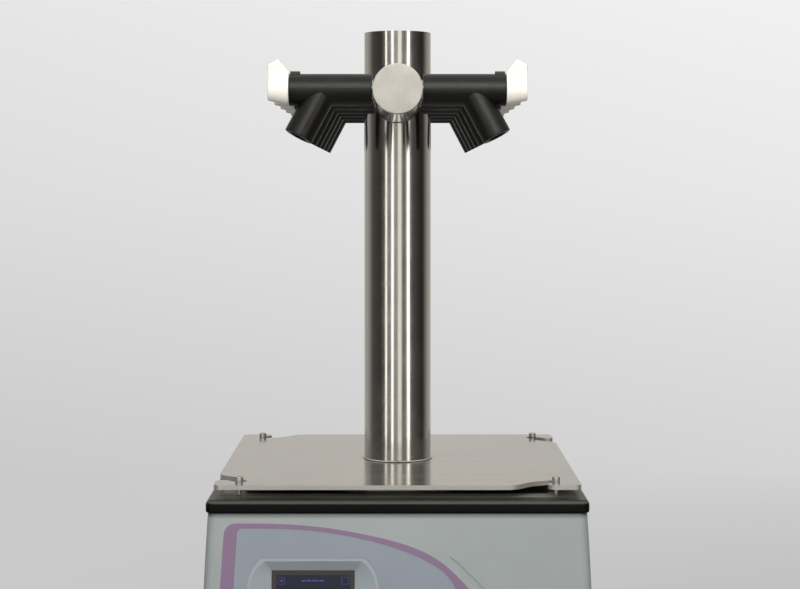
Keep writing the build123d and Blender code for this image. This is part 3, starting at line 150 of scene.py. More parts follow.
class StudioSetup(PropertyGroup):
    floor_radius: length("Floor radius", "Radius of the round floor", 3.4)
    fade_start: length("Fade start", "Where the floor starts to turn into the backdrop", 0.8)
    fade_end: length("Fade end", "Where the floor has turned into the backdrop", 1.6)
    floor: colour("Floor", "Floor near the dryer", (0.56, 0.56, 0.56))
    floor_glow: colour("Floor reflected", "Floor as the dryer's metal sees it", (0.18, 0.18, 0.178))
    near_floor: share("Near floor", "Brightness of the floor behind the dryer", 0.553)
    far_floor: share("Far floor", "Brightness of the floor at its rim", 0.62)
    backdrop_tilt: share("Backdrop tilt", "How much lighter the backdrop is to the right", 0.25)
    camera_distance: length("Camera distance", "From the riser's axis", 2.055)
    camera_height: length("Camera height", "Above the bench", 0.8547)
    camera_yaw: FloatProperty(
        name="Camera yaw", description="To the right", default=math.radians(0.077), subtype="ANGLE"
    )
    camera_lens: FloatProperty(
        name="Lens", description="Focal length in millimetres", default=80.6, min=1
    )
    camera_shift: FloatProperty(
        name="Shift", description="Level camera's view moved down", default=-0.1350
    )
    room: strength("Room", "Light of the panels round the dryer", 1.0)
    ceiling: strength("Ceiling", "Light from above", 0.85)
    key_power: power("Key power", "Soft light above the front", 16.0)
    key_size: length("Key size", "Side of the soft light", 1.2)
    fill_power: power("Fill power", "Broad light from the front", 11.0)
    fill_size: length("Fill size", "Side of the broad light", 2.4)
    lamp_power: power("Lamp power", "Small lamp in front", 7.0)
    lamp_size: length("Lamp size", "Side of the small lamp", 0.12)


SETTINGS = {
    "dryer_steel": SteelFinish,
    "dryer_moulded": MouldedFinish,
    "dryer_machinery": MachineryFinish,
    "dryer_screen": ScreenMarks,
    "dryer_rating": RatingPlate,
    "dryer_studio": StudioSetup,
}


# ------------------------------------------------------------------ shader nodes


def feed(tree, socket, value):
    """Give a socket a link or a value of its own."""
    if isinstance(value, bpy.types.NodeSocket):
        tree.links.new(value, socket)
    else:
        socket.default_value = value


def add_node(tree, kind, inputs=(), **settings):
    """A new shader node, with its settings and with values or links in its inputs."""
    made = tree.nodes.new("ShaderNode" + kind)
    for setting, value in settings.items():
        setattr(made, setting, value)
    for key, value in inputs:
        feed(tree, made.inputs[key], value)
    return made


class Finish:
    """A procedural material in the making. Patterns lie in metres on the piece itself."""

    def __init__(self, name, base, roughness, metallic=0.0):
        self.material = bpy.data.materials.new(name)
        self.material.use_nodes = True
        self.tree = self.material.node_tree
        self.shader = self.tree.nodes["Principled BSDF"]
        self.shader.inputs["Base Color"].default_value = (*base, 1)
        self.shader.inputs["Roughness"].default_value = roughness
        self.shader.inputs["Metallic"].default_value = metallic
        self.base = base
        self.point = self.node("TexCoord").outputs["Object"]

    def node(self, kind, inputs=(), **settings):
        """A new node in this material."""
        return add_node(self.tree, kind, inputs, **settings)

    def set(self, **sockets):
        """Give sockets of the shader a value or a link."""
        for name, value in sockets.items():
            feed(self.tree, self.shader.inputs[name.replace("_", " ")], value)

    def noise(self, scale, detail=2.0, rough=0.5):
        """Cloudy pattern. Scale is how many clouds a metre holds, or a number for each axis."""
        stretch = scale if isinstance(scale, tuple) else (scale, scale, scale)
        place = self.node("Mapping", [("Vector", self.point), ("Scale", stretch)]).outputs[0]
        inputs = [("Vector", place), ("Scale", 1.0), ("Detail", detail), ("Roughness", rough)]
        return self.node("TexNoise", inputs).outputs[0]

    def cells(self, scale):
        """Distance to the nearest of many scattered points, so many to a metre."""
        inputs = [("Vector", self.point), ("Scale", scale)]
        return self.node("TexVoronoi", inputs, feature="F1").outputs["Distance"]

    def level(self, value, low, high, start=0.0, end=1.0):
        """Value from start to end becomes a number from low to high, and no further."""
        inputs = [("Value", value), (1, start), (2, end), (3, low), (4, high)]
        return self.node("MapRange", inputs, clamp=True).outputs[0]

    def maths(self, operation, *values):
        """One number made from others."""
        return self.node("Math", enumerate(values), operation=operation).outputs[0]

    def plus(self, first, second):
        """Two numbers added."""
        return self.maths("ADD", first, second)

    def times(self, first, second):
        """Two numbers multiplied."""
        return self.maths("MULTIPLY", first, second)

    def vary(self, middle, less, more, pattern, start, end):
        """A roughness that varies round a middle value."""
        return self.level(pattern, middle - less, middle + more, start, end)

    def mix(self, part, first, second):
        """Colour that goes from first to second."""
        mixer = self.node("Mix", [("Factor", part)], data_type="RGBA")
        for index, value in ((6, first), (7, second)):
            plain = not isinstance(value, bpy.types.NodeSocket)
            feed(self.tree, mixer.inputs[index], (*value, 1) if plain else value)
        return mixer.outputs[2]

    def mottle(self, pattern, spread, start=0.3, end=0.7):
        """Base colour that varies a little, darker to lighter."""
        dark, light = shade(self.base, 1 - spread), shade(self.base, 1 + spread)
        return self.mix(self.level(pattern, 0, 1, start, end), dark, light)

    def bump(self, pattern, height, weight=1.0):
        """Surface relief of that height."""
        inputs = [("Height", pattern), ("Distance", height), ("Strength", weight)]
        self.set(Normal=self.node("Bump", inputs).outputs[0])

    def parts(self):
        """The three coordinates of a point on the piece."""
        return self.node("SeparateXYZ", [(0, self.point)]).outputs

    def upward(self):
        """How far the surface faces up, from minus one to one."""
        normal = self.node("NewGeometry").outputs["Normal"]
        return self.node("SeparateXYZ", [(0, normal)]).outputs[2]

    def radius(self, centre=(0.0, 0.0)):
        """Distance from an upright axis."""
        x, y, _ = self.parts()
        inputs = [(0, self.plus(x, -centre[0])), (1, self.plus(y, -centre[1]))]
        flat = self.node("CombineXYZ", inputs).outputs[0]
        return self.node("VectorMath", [(0, flat)], operation="LENGTH").outputs["Value"]


def shade(tint, factor):
    """A colour made darker or lighter."""
    return tuple(min(1.0, part * factor) for part in tint)


def dress(finish, *names):
    """Give CAD nodes a finish."""
    for name in names:
        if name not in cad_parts:
            raise RuntimeError(f"the frame holds no {name}")
        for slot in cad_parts[name].material_slots:
            slot.material = finish.material


def grain(along, fine, run):
    """Noise scales of a brushed grain that runs along one axis."""
    return tuple(run if axis == along else fine for axis in "XYZ")


# ------------------------------------------------------------------ metal finishes

# Heights above the plate between which the riser's weld stain fades out.
STAIN_FADE = (0.5 * MM, 1.1 * MM)
# Radii between which the plate's straw tint fades out round the riser.
TINT_FADE = (38.5 * MM, 47.0 * MM)


def polished_tube(name, settings, along, foot=None):
    """Polished tube with faint draw lines along it, and stained at its foot where it is welded."""
    finish = Finish(name, settings.tube, settings.tube_roughness, 1.0)
    lines = finish.noise(grain(along, 1100.0, 3.0), 3.0)
    smudges = finish.noise(26.0, 4.0, 0.6)
    tint = finish.mottle(smudges, 0.05)
    roughness = finish.vary(
        settings.tube_roughness, 0.04, 0.09, finish.plus(lines, smudges), 0.6, 1.4
    )
    if foot is not None:
        stain = finish.level(finish.parts()[2], 1, 0, *(foot + rise for rise in STAIN_FADE))
        tint = finish.mix(stain, tint, shade(settings.bead, 0.22))
        roughness = finish.plus(roughness, finish.times(stain, 0.45))
    finish.set(Base_Color=tint, Roughness=roughness)
    finish.bump(lines, 0.012 * MM, 0.6)
    return finish


def rolled_plate(name, settings):
    """Plate with a fine grain from side to side, soft streaks, and a straw tint by the weld."""
    finish = Finish(name, settings.plate, settings.plate_roughness, 0.7)
    lines = finish.noise(grain("X", 1300.0, 14.0), 3.0)
    streaks = finish.noise(grain("X", 75.0, 7.0), 4.0, 0.6)
    rolled = finish.plus(lines, streaks)
    worn = finish.mottle(finish.times(rolled, 0.5), 0.17, 0.4, 0.6)
    tinted = finish.mix(finish.level(finish.radius(), 0.55, 0, *TINT_FADE), worn, settings.bead)
    # Cut edges are rougher, and lighter in tone as a painted reflection of a brighter room than the
    # one they mirror.
    rough_edge_painted_sheen = finish.level(finish.upward(), 1, 0, 0.3, 0.7)
    roughness = finish.vary(settings.plate_roughness, 0.05, 0.13, rolled, 0.6, 1.4)
    finish.set(
        Base_Color=finish.mix(rough_edge_painted_sheen, tinted, shade(settings.plate, 1.3)),
        Roughness=finish.plus(roughness, finish.times(rough_edge_painted_sheen, 0.25)),
    )
    finish.bump(lines, 0.02 * MM, 0.8)
    return finish


def satin_disc(name, settings):
    """Satin disc, brushed up and down, with faint scratches, and painted shade that darkens it
    towards its foot.
    """
    finish = Finish(name, settings.disc, settings.disc_roughness, 1.0)
    lines = finish.noise(grain("Z", 900.0, 30.0), 3.0, 0.6)
    clouds = finish.noise(60.0, 3.0)
    low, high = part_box("cross_end_caps")
    # Painted shade: the base colour darkens from the end caps' mid height down to their foot.
    foot = finish.level(finish.parts()[2], 0.5, 0, low.z, (low.z + high.z) / 2)
    brushed = finish.mottle(finish.times(finish.plus(lines, clouds), 0.5), 0.09, 0.4, 0.6)
    finish.set(
        Base_Color=finish.mix(foot, brushed, shade(settings.disc, 0.8)),
        Roughness=finish.vary(settings.disc_roughness, 0.08, 0.1, lines, 0.35, 0.65),
    )
    finish.bump(lines, 0.03 * MM)
    return finish


def chamber_steel(name, settings):
    """Deep drawn chamber: rings round its wall."""
    finish = Finish(name, settings.plate, 0.3, 1.0)
    rings = finish.noise(grain("Z", 6.0, 900.0))
    finish.set(
        Base_Color=finish.mottle(finish.noise(20.0, 4.0), 0.1),
        Roughness=finish.level(rings, 0.22, 0.4, 0.3, 0.7),
    )
    finish.bump(rings, 0.03 * MM)
    return finish


def weld_metal(name, settings):
    """Rippled weld with a straw and blue tint."""
    finish = Finish(name, settings.bead, 0.36, 1.0)
    ripples = finish.noise(520.0)
    blued = finish.level(ripples, 0, 1, 0.4, 0.62)
    finish.set(
        Base_Color=finish.mix(blued, settings.bead, settings.blued),
        Roughness=finish.level(ripples, 0.28, 0.46),
    )
    finish.bump(ripples, 0.15 * MM)
    return finish


def turned_metal(name, base, roughness, spread=0.12):
    """Small turned, plated or cast metal pieces."""
    finish = Finish(name, base, roughness, 1.0)
    clouds = finish.noise(240.0, 4.0, 0.6)
    finish.set(
        Base_Color=finish.mottle(clouds, spread),
        Roughness=finish.vary(roughness, 0.08, 0.12, clouds, 0.3, 0.7),
    )
    finish.bump(finish.noise(1600.0), 0.02 * MM, 0.7)
    return finish


def drawn_copper(name, base):
    """Copper tube, dull in places."""
    finish = Finish(name, base, 0.3, 1.0)
    stains = finish.noise(45.0, 5.0, 0.65)
    finish.set(
        Base_Color=finish.mix(finish.level(stains, 0, 1, 0.42, 0.68), base, shade(base, 0.45)),
        Roughness=finish.level(stains, 0.2, 0.48, 0.35, 0.7),
    )
    finish.bump(finish.noise(900.0), 0.02 * MM)
    return finish


# ------------------------------------------------------------------ moulded and coated finishes

# Distances from the cap's rim between which its dust begins, and ends towards the plate. The dust
# band is partly painted light: it stands in for the strip that a low lamp in front lights, and its
# inner end stands in for the edge of the plate's shadow.
LIT_DUST_BEGINS = (16 * MM, 12 * MM)
LIT_DUST_ENDS = (42 * MM, 37 * MM)
# Depths below the front moulding's top between which its painted shade, from the cap above it,
# begins.
CAP_SHADE_DEPTHS = (5.5 * MM, 1.5 * MM)
# Depths between which the control board's black components begin.
COMPONENTS_BEGIN = (-196.5 * MM, -194.5 * MM)


def moulded(name, base, roughness, texture=1800.0, relief=0.03 * MM, spread=0.05, gloss=0.5):
    """Moulded plastic with a fine spark texture."""
    finish = Finish(name, base, roughness)
    clouds = finish.noise(22.0, 4.0)
    pebbles = finish.noise(texture)
    finish.set(
        Base_Color=finish.mottle(clouds, spread),
        Roughness=finish.vary(roughness, 0.06, 0.08, finish.plus(clouds, pebbles), 0.7, 1.3),
        Specular_IOR_Level=gloss,
    )
    finish.bump(pebbles, relief)
    return finish


def fascia_moulding(name, base):
    """Front moulding, with painted shade along its upper edge under the cap."""
    finish = moulded(name, base, 0.42, texture=1500.0, spread=0.03)
    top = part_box("front_fascia")[1].z
    # Painted shade: the top few millimetres darken where the cap's shadow falls.
    painted_cap_shade = finish.level(finish.parts()[2], 0, 0.95, *(top - drop for drop in CAP_SHADE_DEPTHS))
    base_look = finish.shader.inputs["Base Color"].links[0].from_socket
    finish.set(Base_Color=finish.mix(painted_cap_shade, base_look, shade(base, 0.35)))
    return finish


def cap_moulding(name, base, dust):
    """Black moulding: dusty on top, with that dust also brightened as painted light, a painted
    highlight along its rounded edge, dull on its sides.
    """
    finish = Finish(name, base, 0.34)
    clouds = finish.noise(22.0, 4.0)
    pebbles = finish.noise(1500.0)
    upward = finish.upward()
    x, y, _ = finish.parts()
    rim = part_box("top_cap")[1].x
    across = finish.maths("MAXIMUM", finish.maths("ABSOLUTE", x), finish.maths("ABSOLUTE", y))
    inside = finish.level(across, 0, 1, *(rim - inset for inset in LIT_DUST_ENDS))
    outside = finish.level(across, 1, 0.2, *(rim - inset for inset in LIT_DUST_BEGINS))
    flat = finish.level(upward, 0, 1, 0.93, 0.995)
    dust_and_lit_band = finish.times(flat, finish.times(inside, outside))
    # Painted highlight: the rounded edge is lightened as if a lamp above glinted on it.
    painted_edge_highlight = finish.times(
        finish.level(upward, 0, 1, 0.25, 0.45), finish.level(upward, 1, 0, 0.8, 0.93)
    )
    # Painted light: the dust band is brightened where a low lamp in front would light it, and it
    # stops where the plate's shadow falls.
    patchy = finish.times(dust_and_lit_band, finish.level(clouds, 0.7, 1.0, 0.3, 0.7))
    dust_and_painted_light = finish.mix(patchy, base, dust)
    roughness = finish.level(pebbles, 0.28, 0.4, 0.3, 0.7)
    finish.set(
        Base_Color=finish.mix(painted_edge_highlight, dust_and_painted_light, shade(dust, 0.25)),
        Roughness=finish.plus(roughness, finish.times(dust_and_lit_band, 0.2)),
        Specular_IOR_Level=0.16,
    )
    finish.bump(pebbles, 0.03 * MM)
    return finish


def valve_rubber(name, base):
    """Moulded rubber with a dull bloom and scuffs on it."""
    finish = Finish(name, base, 0.5)
    bloom = finish.noise(70.0, 5.0, 0.65)
    scuffs = finish.noise(grain("Y", 420.0, 150.0), 3.0)
    paler = tuple(part + 0.001 for part in shade(base, 2.0))
    finish.set(
        Base_Color=finish.mix(finish.level(bloom, 0, 1, 0.45, 0.75), base, paler),
        Roughness=finish.level(finish.plus(bloom, scuffs), 0.3, 0.46, 0.75, 1.3),
        Specular_IOR_Level=0.4,
    )
    finish.bump(finish.plus(scuffs, finish.noise(2400.0)), 0.03 * MM, 0.7)
    return finish


def knob_plastic(name, base):
    """Glossy white moulding with a little depth."""
    finish = Finish(name, base, 0.34)
    clouds = finish.noise(60.0, 3.0)
    dust = finish.noise(1100.0)
    finish.set(
        Base_Color=finish.mottle(clouds, 0.025),
        Roughness=finish.level(finish.plus(clouds, dust), 0.28, 0.44, 0.7, 1.3),
        Subsurface_Weight=0.12,
        Subsurface_Radius=(4.0 * MM, 3.5 * MM, 3.0 * MM),
        Subsurface_Scale=1.0,
    )
    finish.bump(dust, 0.012 * MM)
    return finish


def powder_coat(name, base, roughness=0.5):
    """Coated sheet with a fine orange peel."""
    finish = Finish(name, base, roughness)
    clouds = finish.noise(9.0, 4.0)
    peel = finish.noise(750.0)
    speckled = finish.plus(clouds, finish.times(finish.cells(1500.0), 0.15))
    finish.set(
        Base_Color=finish.mottle(speckled, 0.045, 0.35, 0.75),
        Roughness=finish.vary(roughness, 0.07, 0.1, peel, 0.3, 0.7),
        Coat_Weight=0.12,
        Coat_Roughness=0.3,
    )
    finish.bump(peel, 0.06 * MM, 0.8)
    return finish


def printed_film(name, base, roughness=0.4, glow=0.0):
    """Printed polycarbonate film, lit from behind where it glows."""
    finish = Finish(name, base, roughness)
    velvet = finish.noise(2600.0)
    finish.set(
        Base_Color=finish.mottle(finish.noise(12.0, 3.0), 0.03),
        Roughness=finish.vary(roughness, 0.06, 0.08, velvet, 0.3, 0.7),
        Coat_Weight=0.1,
        Coat_Roughness=0.25,
    )
    if glow:
        finish.set(Emission_Color=(*base, 1), Emission_Strength=glow)
    finish.bump(velvet, 0.01 * MM)
    return finish


def screen_cover(name, base):
    """Dark display under a cover, with its faint rows of dots."""
    finish = Finish(name, base, 0.12)
    rows = finish.noise(2500.0, 1.0)
    finish.set(
        Base_Color=finish.mottle(finish.noise(30.0), 0.12),
        Roughness=finish.level(rows, 0.09, 0.18),
        Coat_Weight=0.2,
        Coat_Roughness=0.08,
        Emission_Color=(0.018, 0.022, 0.05, 1),
        Emission_Strength=0.35,
    )
    finish.bump(rows, 0.004 * MM)
    return finish


def foam_block(name, base):
    """Poured foam with open cells."""
    finish = Finish(name, base, 0.9)
    cells = finish.cells(420.0)
    clouds = finish.noise(18.0, 5.0, 0.65)
    finish.set(
        Base_Color=finish.mottle(finish.plus(clouds, finish.times(cells, 0.3)), 0.18, 0.35, 0.85),
        Roughness=finish.level(cells, 0.95, 0.75),
        Specular_IOR_Level=0.2,
    )
    finish.bump(finish.plus(cells, clouds), 0.6 * MM)
    return finish


def circuit_board(name, base, component):
    """Lacquered board with tracks under the lacquer and components on its rear."""
    finish = Finish(name, base, 0.3)
    tracks = finish.noise((300.0, 300.0, 60.0), 1.0)
    rear = finish.level(finish.parts()[1], 0, 1, *COMPONENTS_BEGIN)
    tracked = finish.mix(finish.level(tracks, 0, 1, 0.5, 0.54), base, shade(base, 1.9))
    finish.set(
        Base_Color=finish.mix(rear, tracked, component),
        Roughness=finish.level(tracks, 0.24, 0.4),
        Coat_Weight=0.3,
    )
    finish.bump(tracks, 0.04 * MM)
    return finish


# ------------------------------------------------------------------ making meshes


def piece(name, mesh, body, finish):
    """A new object from a finished mesh, riding on a body."""
    mesh.validate()
    made = bpy.data.objects.new(name, mesh)
    bpy.context.scene.collection.objects.link(made)
    made.data.materials.append(finish.material)
    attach(made, body)
    return made


def mesh_from(name, bm, smooth_under=None):
    """A mesh from a bmesh, shaded smooth where its faces meet at a small angle."""
    bmesh.ops.recalc_face_normals(bm, faces=bm.faces)
    mesh = bpy.data.meshes.new(name)
    if smooth_under is not None:
        for face in bm.faces:
            face.smooth = True
        for edge in bm.edges:
            if len(edge.link_faces) == 2:
                edge.smooth = edge.calc_face_angle() < smooth_under
    bm.to_mesh(mesh)
    bm.free()
    return mesh


def loft_rings(bm, rings, closed=False):
    """Skin between rings of points, each ring a closed loop."""
    loops = [[bm.verts.new(point) for point in ring] for ring in rings]
    pairs = list(zip(loops, loops[1:]))
    if closed:
        pairs.append((loops[-1], loops[0]))
    for lower, upper in pairs:
        count = len(lower)
        for index in range(count):
            after = (index + 1) % count
            bm.faces.new((lower[index], lower[after], upper[after], upper[index]))
    if not closed:
        bm.faces.new(reversed(loops[0]))
        bm.faces.new(loops[-1])


def outline_prism(bm, points, place, depth):
    """Flat outline raised to a thin solid. Place takes its plane to where it lies on the dryer."""
    lower = [place @ Vector((u, v, 0)) for u, v in points]
    upper = [place @ Vector((u, v, depth)) for u, v in points]
    loft_rings(bm, [lower, upper])


def circle(radius, count, height=0.0):
    """Points round the upright axis."""
    turns = [2 * math.pi * step / count for step in range(count)]
    return [Vector((radius * math.cos(turn), radius * math.sin(turn), height)) for turn in turns]


def rounded(width, height, corner, centre=(0.0, 0.0), steps=6):
    """Corner points of a rectangle with round corners."""
    points = []
    for turn, (sx, sy) in enumerate(((1, 1), (-1, 1), (-1, -1), (1, -1))):
        for step in range(steps + 1):
            angle = math.pi / 2 * (turn + step / steps)
            points.append((
                centre[0] + sx * (width / 2 - corner) + corner * math.cos(angle),
                centre[1] + sy * (height / 2 - corner) + corner * math.sin(angle),
            ))
    return points


def screen_place(lift):
    """Matrix of the screen's face: x to the right, y up the screen, z out of it."""
    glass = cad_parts["display_glass"].data
    front = min(glass.polygons, key=lambda face: face.normal.y)
    out = front.normal.normalized()
    right = Vector((1, 0, 0))
    up = out.cross(right).normalized()
    low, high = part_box("display_glass")
    middle = (low + high) / 2
    reach = glass.vertices[front.vertices[0]].co.dot(out) + lift
    origin = middle + out * (reach - middle.dot(out))
    turn = Matrix((right, up, out)).transposed().to_4x4()
    return Matrix.Translation(origin) @ turn


# ------------------------------------------------------------------ operators


class DRYER_OT_steelwork(Operator):
    """Finish the plate, the riser, the cross tube and the chamber"""

    bl_idname = "dryer.steelwork"
    bl_label = "Finish Steelwork"

    def execute(self, context):
        steel = context.scene.dryer_steel
        plate_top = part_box("manifold_plate")[1].z
        dress(polished_tube("riser_polish", steel, "Z", plate_top), "riser_tube")
        dress(polished_tube("cross_tube_polish", steel, "Y"), "cross_tube")
        dress(polished_tube("stub_polish", steel, "X"), "port_stubs")
        dress(rolled_plate("plate_grain", steel), "manifold_plate")
        dress(satin_disc("disc_satin", steel), "riser_cap", "cross_end_caps", "vacuum_port")
        dress(chamber_steel("chamber_rings", steel), "condenser_chamber")
        bolts = turned_metal("bolt_steel", steel.bolt, 0.38)
        dress(bolts, "corner_bolts", "panel_screws")
        return {"FINISHED"}


class DRYER_OT_valves(Operator):
    """Finish the rubber valves and their knobs"""

    bl_idname = "dryer.valves"
    bl_label = "Finish Valves"

    def execute(self, context):
        looks = context.scene.dryer_moulded
        bodies = [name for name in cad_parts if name.startswith("valve_body")]
        knobs = [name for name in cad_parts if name.startswith("valve_knob")]
        if len(bodies) != len(knobs):
            raise RuntimeError("each valve needs a body and a knob")
        dress(valve_rubber("valve_rubber_bloom", looks.rubber), *bodies)
        dress(knob_plastic("knob_gloss", looks.knob), *knobs)
        return {"FINISHED"}


class DRYER_OT_cabinet(Operator):
    """Finish the cabinet's panels, cap, gasket and feet"""

    bl_idname = "dryer.cabinet"
    bl_label = "Finish Cabinet"

    def execute(self, context):
        looks = context.scene.dryer_moulded
        coat = powder_coat("panel_coat", looks.panel)
        dress(coat, "base_pan", "left_side_panel", "right_side_panel", "rear_panel")
        dress(cap_moulding("cap_moulding", looks.cap, looks.dust), "top_cap")
        soft = moulded(
            "soft_black_rubber", looks.soft_black, 0.6,
            texture=900.0, relief=0.05 * MM, spread=0.1, gloss=0.35,
        )
        dress(soft, "chamber_gasket", "feet", "compressor_grommets")
        return {"FINISHED"}


class DRYER_OT_front(Operator):
    """Finish the front moulding, its band, its overlay and the display"""

    bl_idname = "dryer.front"
    bl_label = "Finish Front"

    def execute(self, context):
        looks = context.scene.dryer_moulded
        bezel = moulded(
            "bezel_moulding", looks.bezel, 0.5, texture=1400.0, relief=0.04 * MM, spread=0.03
        )
        dress(fascia_moulding("fascia_moulding", looks.fascia), "front_fascia")
        dress(printed_film("band_film", looks.band), "accent_band")
        dress(printed_film("overlay_film", looks.overlay), "control_overlay")
        dress(bezel, "display_bezel")
        dress(moulded("display_rim", looks.display_frame, 0.4), "display_module")
        dress(screen_cover("screen_cover", looks.screen), "display_glass")
        return {"FINISHED"}


class DRYER_OT_machinery(Operator):
    """Finish the cooling, the drain, the power inlet and the board"""

    bl_idname = "dryer.machinery"
    bl_label = "Finish Machinery"

    def execute(self, context):
        looks = context.scene.dryer_machinery
        dress(drawn_copper("copper_tube", looks.copper), "evaporator_coil", "refrigerant_lines")
        dress(turned_metal("fin_aluminium", looks.aluminium, 0.4), "radiator")
        dress(turned_metal("valve_brass", looks.brass, 0.3), "drain_valve")
        dress(powder_coat("shroud_coat", looks.shroud, 0.45), "fan_frame")
        dress(powder_coat("compressor_paint", looks.compressor, 0.32), "compressor")
        dress(foam_block("poured_foam", looks.foam), "chamber_insulation")
        dress(circuit_board("board_lacquer", looks.board, looks.component), "control_board")
        dress(moulded("fan_moulding", looks.plastic, 0.45), "fan_rotor")
        dress(moulded("inlet_moulding", looks.plastic, 0.38), "power_inlet")
        dress(moulded("rocker_moulding", looks.plastic, 0.25), "power_rocker")
        grip = moulded("grip_coating", looks.grip, 0.4, texture=700.0, relief=0.06 * MM)
        dress(grip, "drain_lever")
        return {"FINISHED"}


# The screen's layout, from its middle: x to the right and y up.
KEY = 7.0 * MM
KEY_LINE = 0.4 * MM
KEY_INSET = (5.2 * MM, 5.4 * MM)
ARROW = ((1.4 * MM, 1.6 * MM), (-1.6 * MM, 0.0), (1.4 * MM, -1.6 * MM))
# Centre and length of each bar of the title, in millimetres.
TITLE = ((-9.9, 4.6), (-4.6, 4.8), (2.2, 6.6), (8.8, 5.2))
# Length of each row's label and its drop below the title, in millimetres.
ROWS = ((15.0, 18.0), (12.0, 28.5), (15.0, 39.0))
LABEL_X = -22.0 * MM
FIGURES_END = 4.0 * MM
TITLE_HEIGHT, LABEL_HEIGHT, BAR_CORNER = 1.6 * MM, 1.8 * MM, 0.5 * MM
# Heights of the chart's columns, in millimetres.
COLUMNS = (6.0, 9.0, 13.5, 17.0, 19.0, 20.0)
COLUMN_PITCH, COLUMN_WIDTH, COLUMN_CORNER = 2.9 * MM, 1.9 * MM, 0.3 * MM
CHART_X = 20.0 * MM
CHART_FOOT = 7.0 * MM
# How strongly the marks shine.
GLOW = 0.5


class DRYER_OT_screen_marks(Operator):
    """Add the marks and figures that the screen shows"""

    bl_idname = "dryer.screen_marks"
    bl_label = "Add Screen Marks"

    def execute(self, context):
        marks = context.scene.dryer_screen
        place = screen_place(marks.lift)
        low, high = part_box("display_glass")
        half_width, half_height = (high.x - low.x) / 2, (high.z - low.z) / 2
        key_x, key_y = half_width - KEY_INSET[0], half_height - KEY_INSET[1]
        bm = bmesh.new()

        def add_bar(width, height, corner, centre, steps, turned=Matrix()):
            outline = rounded(width, height, corner, centre, steps)
            outline_prism(bm, outline, place @ turned, marks.thickness)

        for side in (-1, 1):
            middle = Matrix.Translation((side * key_x, key_y, 0))
            for quarter in range(4):
                edge = middle @ Matrix.Rotation(math.pi / 2 * quarter, 4, "Z")
                add_bar(KEY, KEY_LINE, KEY_LINE / 3, (0.0, KEY / 2), steps=3, turned=edge)
        arrow = [(x - key_x, y + key_y) for x, y in ARROW]
        outline_prism(bm, arrow, place, marks.thickness)
        for centre, bar_length in TITLE:
            add_bar(bar_length * MM, TITLE_HEIGHT, BAR_CORNER, (centre * MM, key_y), steps=4)
        for label_length, drop in ROWS:
            middle = (LABEL_X, key_y - drop * MM)
            add_bar(label_length * MM, LABEL_HEIGHT, BAR_CORNER, middle, steps=4)
        for index, rise in enumerate(COLUMNS):
            column_x = CHART_X + (index - (len(COLUMNS) - 1) / 2) * COLUMN_PITCH
            column_y = CHART_FOOT - half_height + rise / 2 * MM
            add_bar(COLUMN_WIDTH, rise * MM, COLUMN_CORNER, (column_x, column_y), steps=3)
        ink = printed_film("screen_ink", marks.ink, 0.3, GLOW)
        piece("screen_marks", mesh_from("screen_marks", bm), "cabinet", ink)
        figures = printed_film("screen_figures", marks.bright, 0.3, GLOW)
        for name, reading, (_, drop) in zip(("upper", "lower"), (marks.upper, marks.lower), ROWS):
            mesh = self.written(context, reading, marks)
            spot = Matrix.Translation((FIGURES_END, key_y - drop * MM, marks.thickness / 2))
            mesh.transform(place @ spot)
            mesh.name = f"{name}_figures"
            piece(mesh.name, mesh, "cabinet", figures)
        return {"FINISHED"}

    def written(self, context, words, marks):
        """Mesh of raised figures that end at their origin."""
        curve = bpy.data.curves.new("figures", "FONT")
        curve.body = words
        curve.size = marks.figure_height
        curve.align_x = "RIGHT"
        curve.align_y = "CENTER"
        curve.extrude = marks.thickness / 2
        writing = bpy.data.objects.new("figures_outline", curve)
        outline = writing.evaluated_get(context.evaluated_depsgraph_get())
        mesh = bpy.data.meshes.new_from_object(outline)
        bpy.data.objects.remove(writing)
        mesh.materials.clear()
        return mesh


# The riser cap fills the riser's bore, so the riser is this much wider.
RISER_WALL = 1.65 * MM
# Points along a weld, points round its section, and points from one ripple to the next.
WELD_POINTS, SECTION_POINTS, RIPPLE_POINTS = 180, 10, 6
# Height of a ripple, as a part of the weld's radius.
RIPPLE = 0.12


class DRYER_OT_saddle_welds(Operator):
    """Add the welds where the cross tube leaves the riser"""

    bl_idname = "dryer.saddle_welds"
    bl_label = "Add Saddle Welds"

    def execute(self, context):
        steel = context.scene.dryer_steel
        tube_low, tube_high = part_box("cross_tube")
        cap_low, cap_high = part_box("riser_cap")
        tube_radius = (tube_high.x - tube_low.x) / 2
        axis_z = (tube_high.z + tube_low.z) / 2
        riser_radius = (cap_high.x - cap_low.x) / 2 + RISER_WALL
        finish = weld_metal("saddle_weld_metal", steel)
        for name, side in (("saddle_weld_front", -1), ("saddle_weld_rear", 1)):
            line = []
            for x, z, _ in circle(tube_radius, WELD_POINTS):
                line.append(Vector((x, side * math.sqrt(riser_radius ** 2 - x ** 2), axis_z + z)))
            rings = []
            for index, point in enumerate(line):
                ahead = line[(index + 1) % WELD_POINTS] - line[index - 1]
                outward = Vector((point.x, 0, point.z - axis_z)).normalized()
                sideways = ahead.normalized().cross(outward).normalized()
                ripple = 1 + RIPPLE * math.sin(index * 2 * math.pi / RIPPLE_POINTS)
                rings.append([
                    point + outward * out + sideways * along
                    for out, along, _ in circle(steel.bead_radius * ripple, SECTION_POINTS)
                ])
            bm = bmesh.new()
            loft_rings(bm, rings, closed=True)
            mesh = mesh_from(name, bm, smooth_under=math.radians(60))
            piece(name, mesh, "manifold", finish)
        return {"FINISHED"}


PLATE_CORNER = 2.5 * MM
# How much the plate's rounded edge takes off each side, and off its thickness.
PLATE_EDGE = (0.25 * MM, 0.2 * MM)
RIVET_INSET = 5 * MM
# Radius and height of a rivet head's rings, as parts of its radius.
RIVET_HEAD = ((1.0, 0.0), (0.98, 0.18), (0.86, 0.36), (0.62, 0.52), (0.32, 0.6), (0.06, 0.62))
RIVET_POINTS = 24


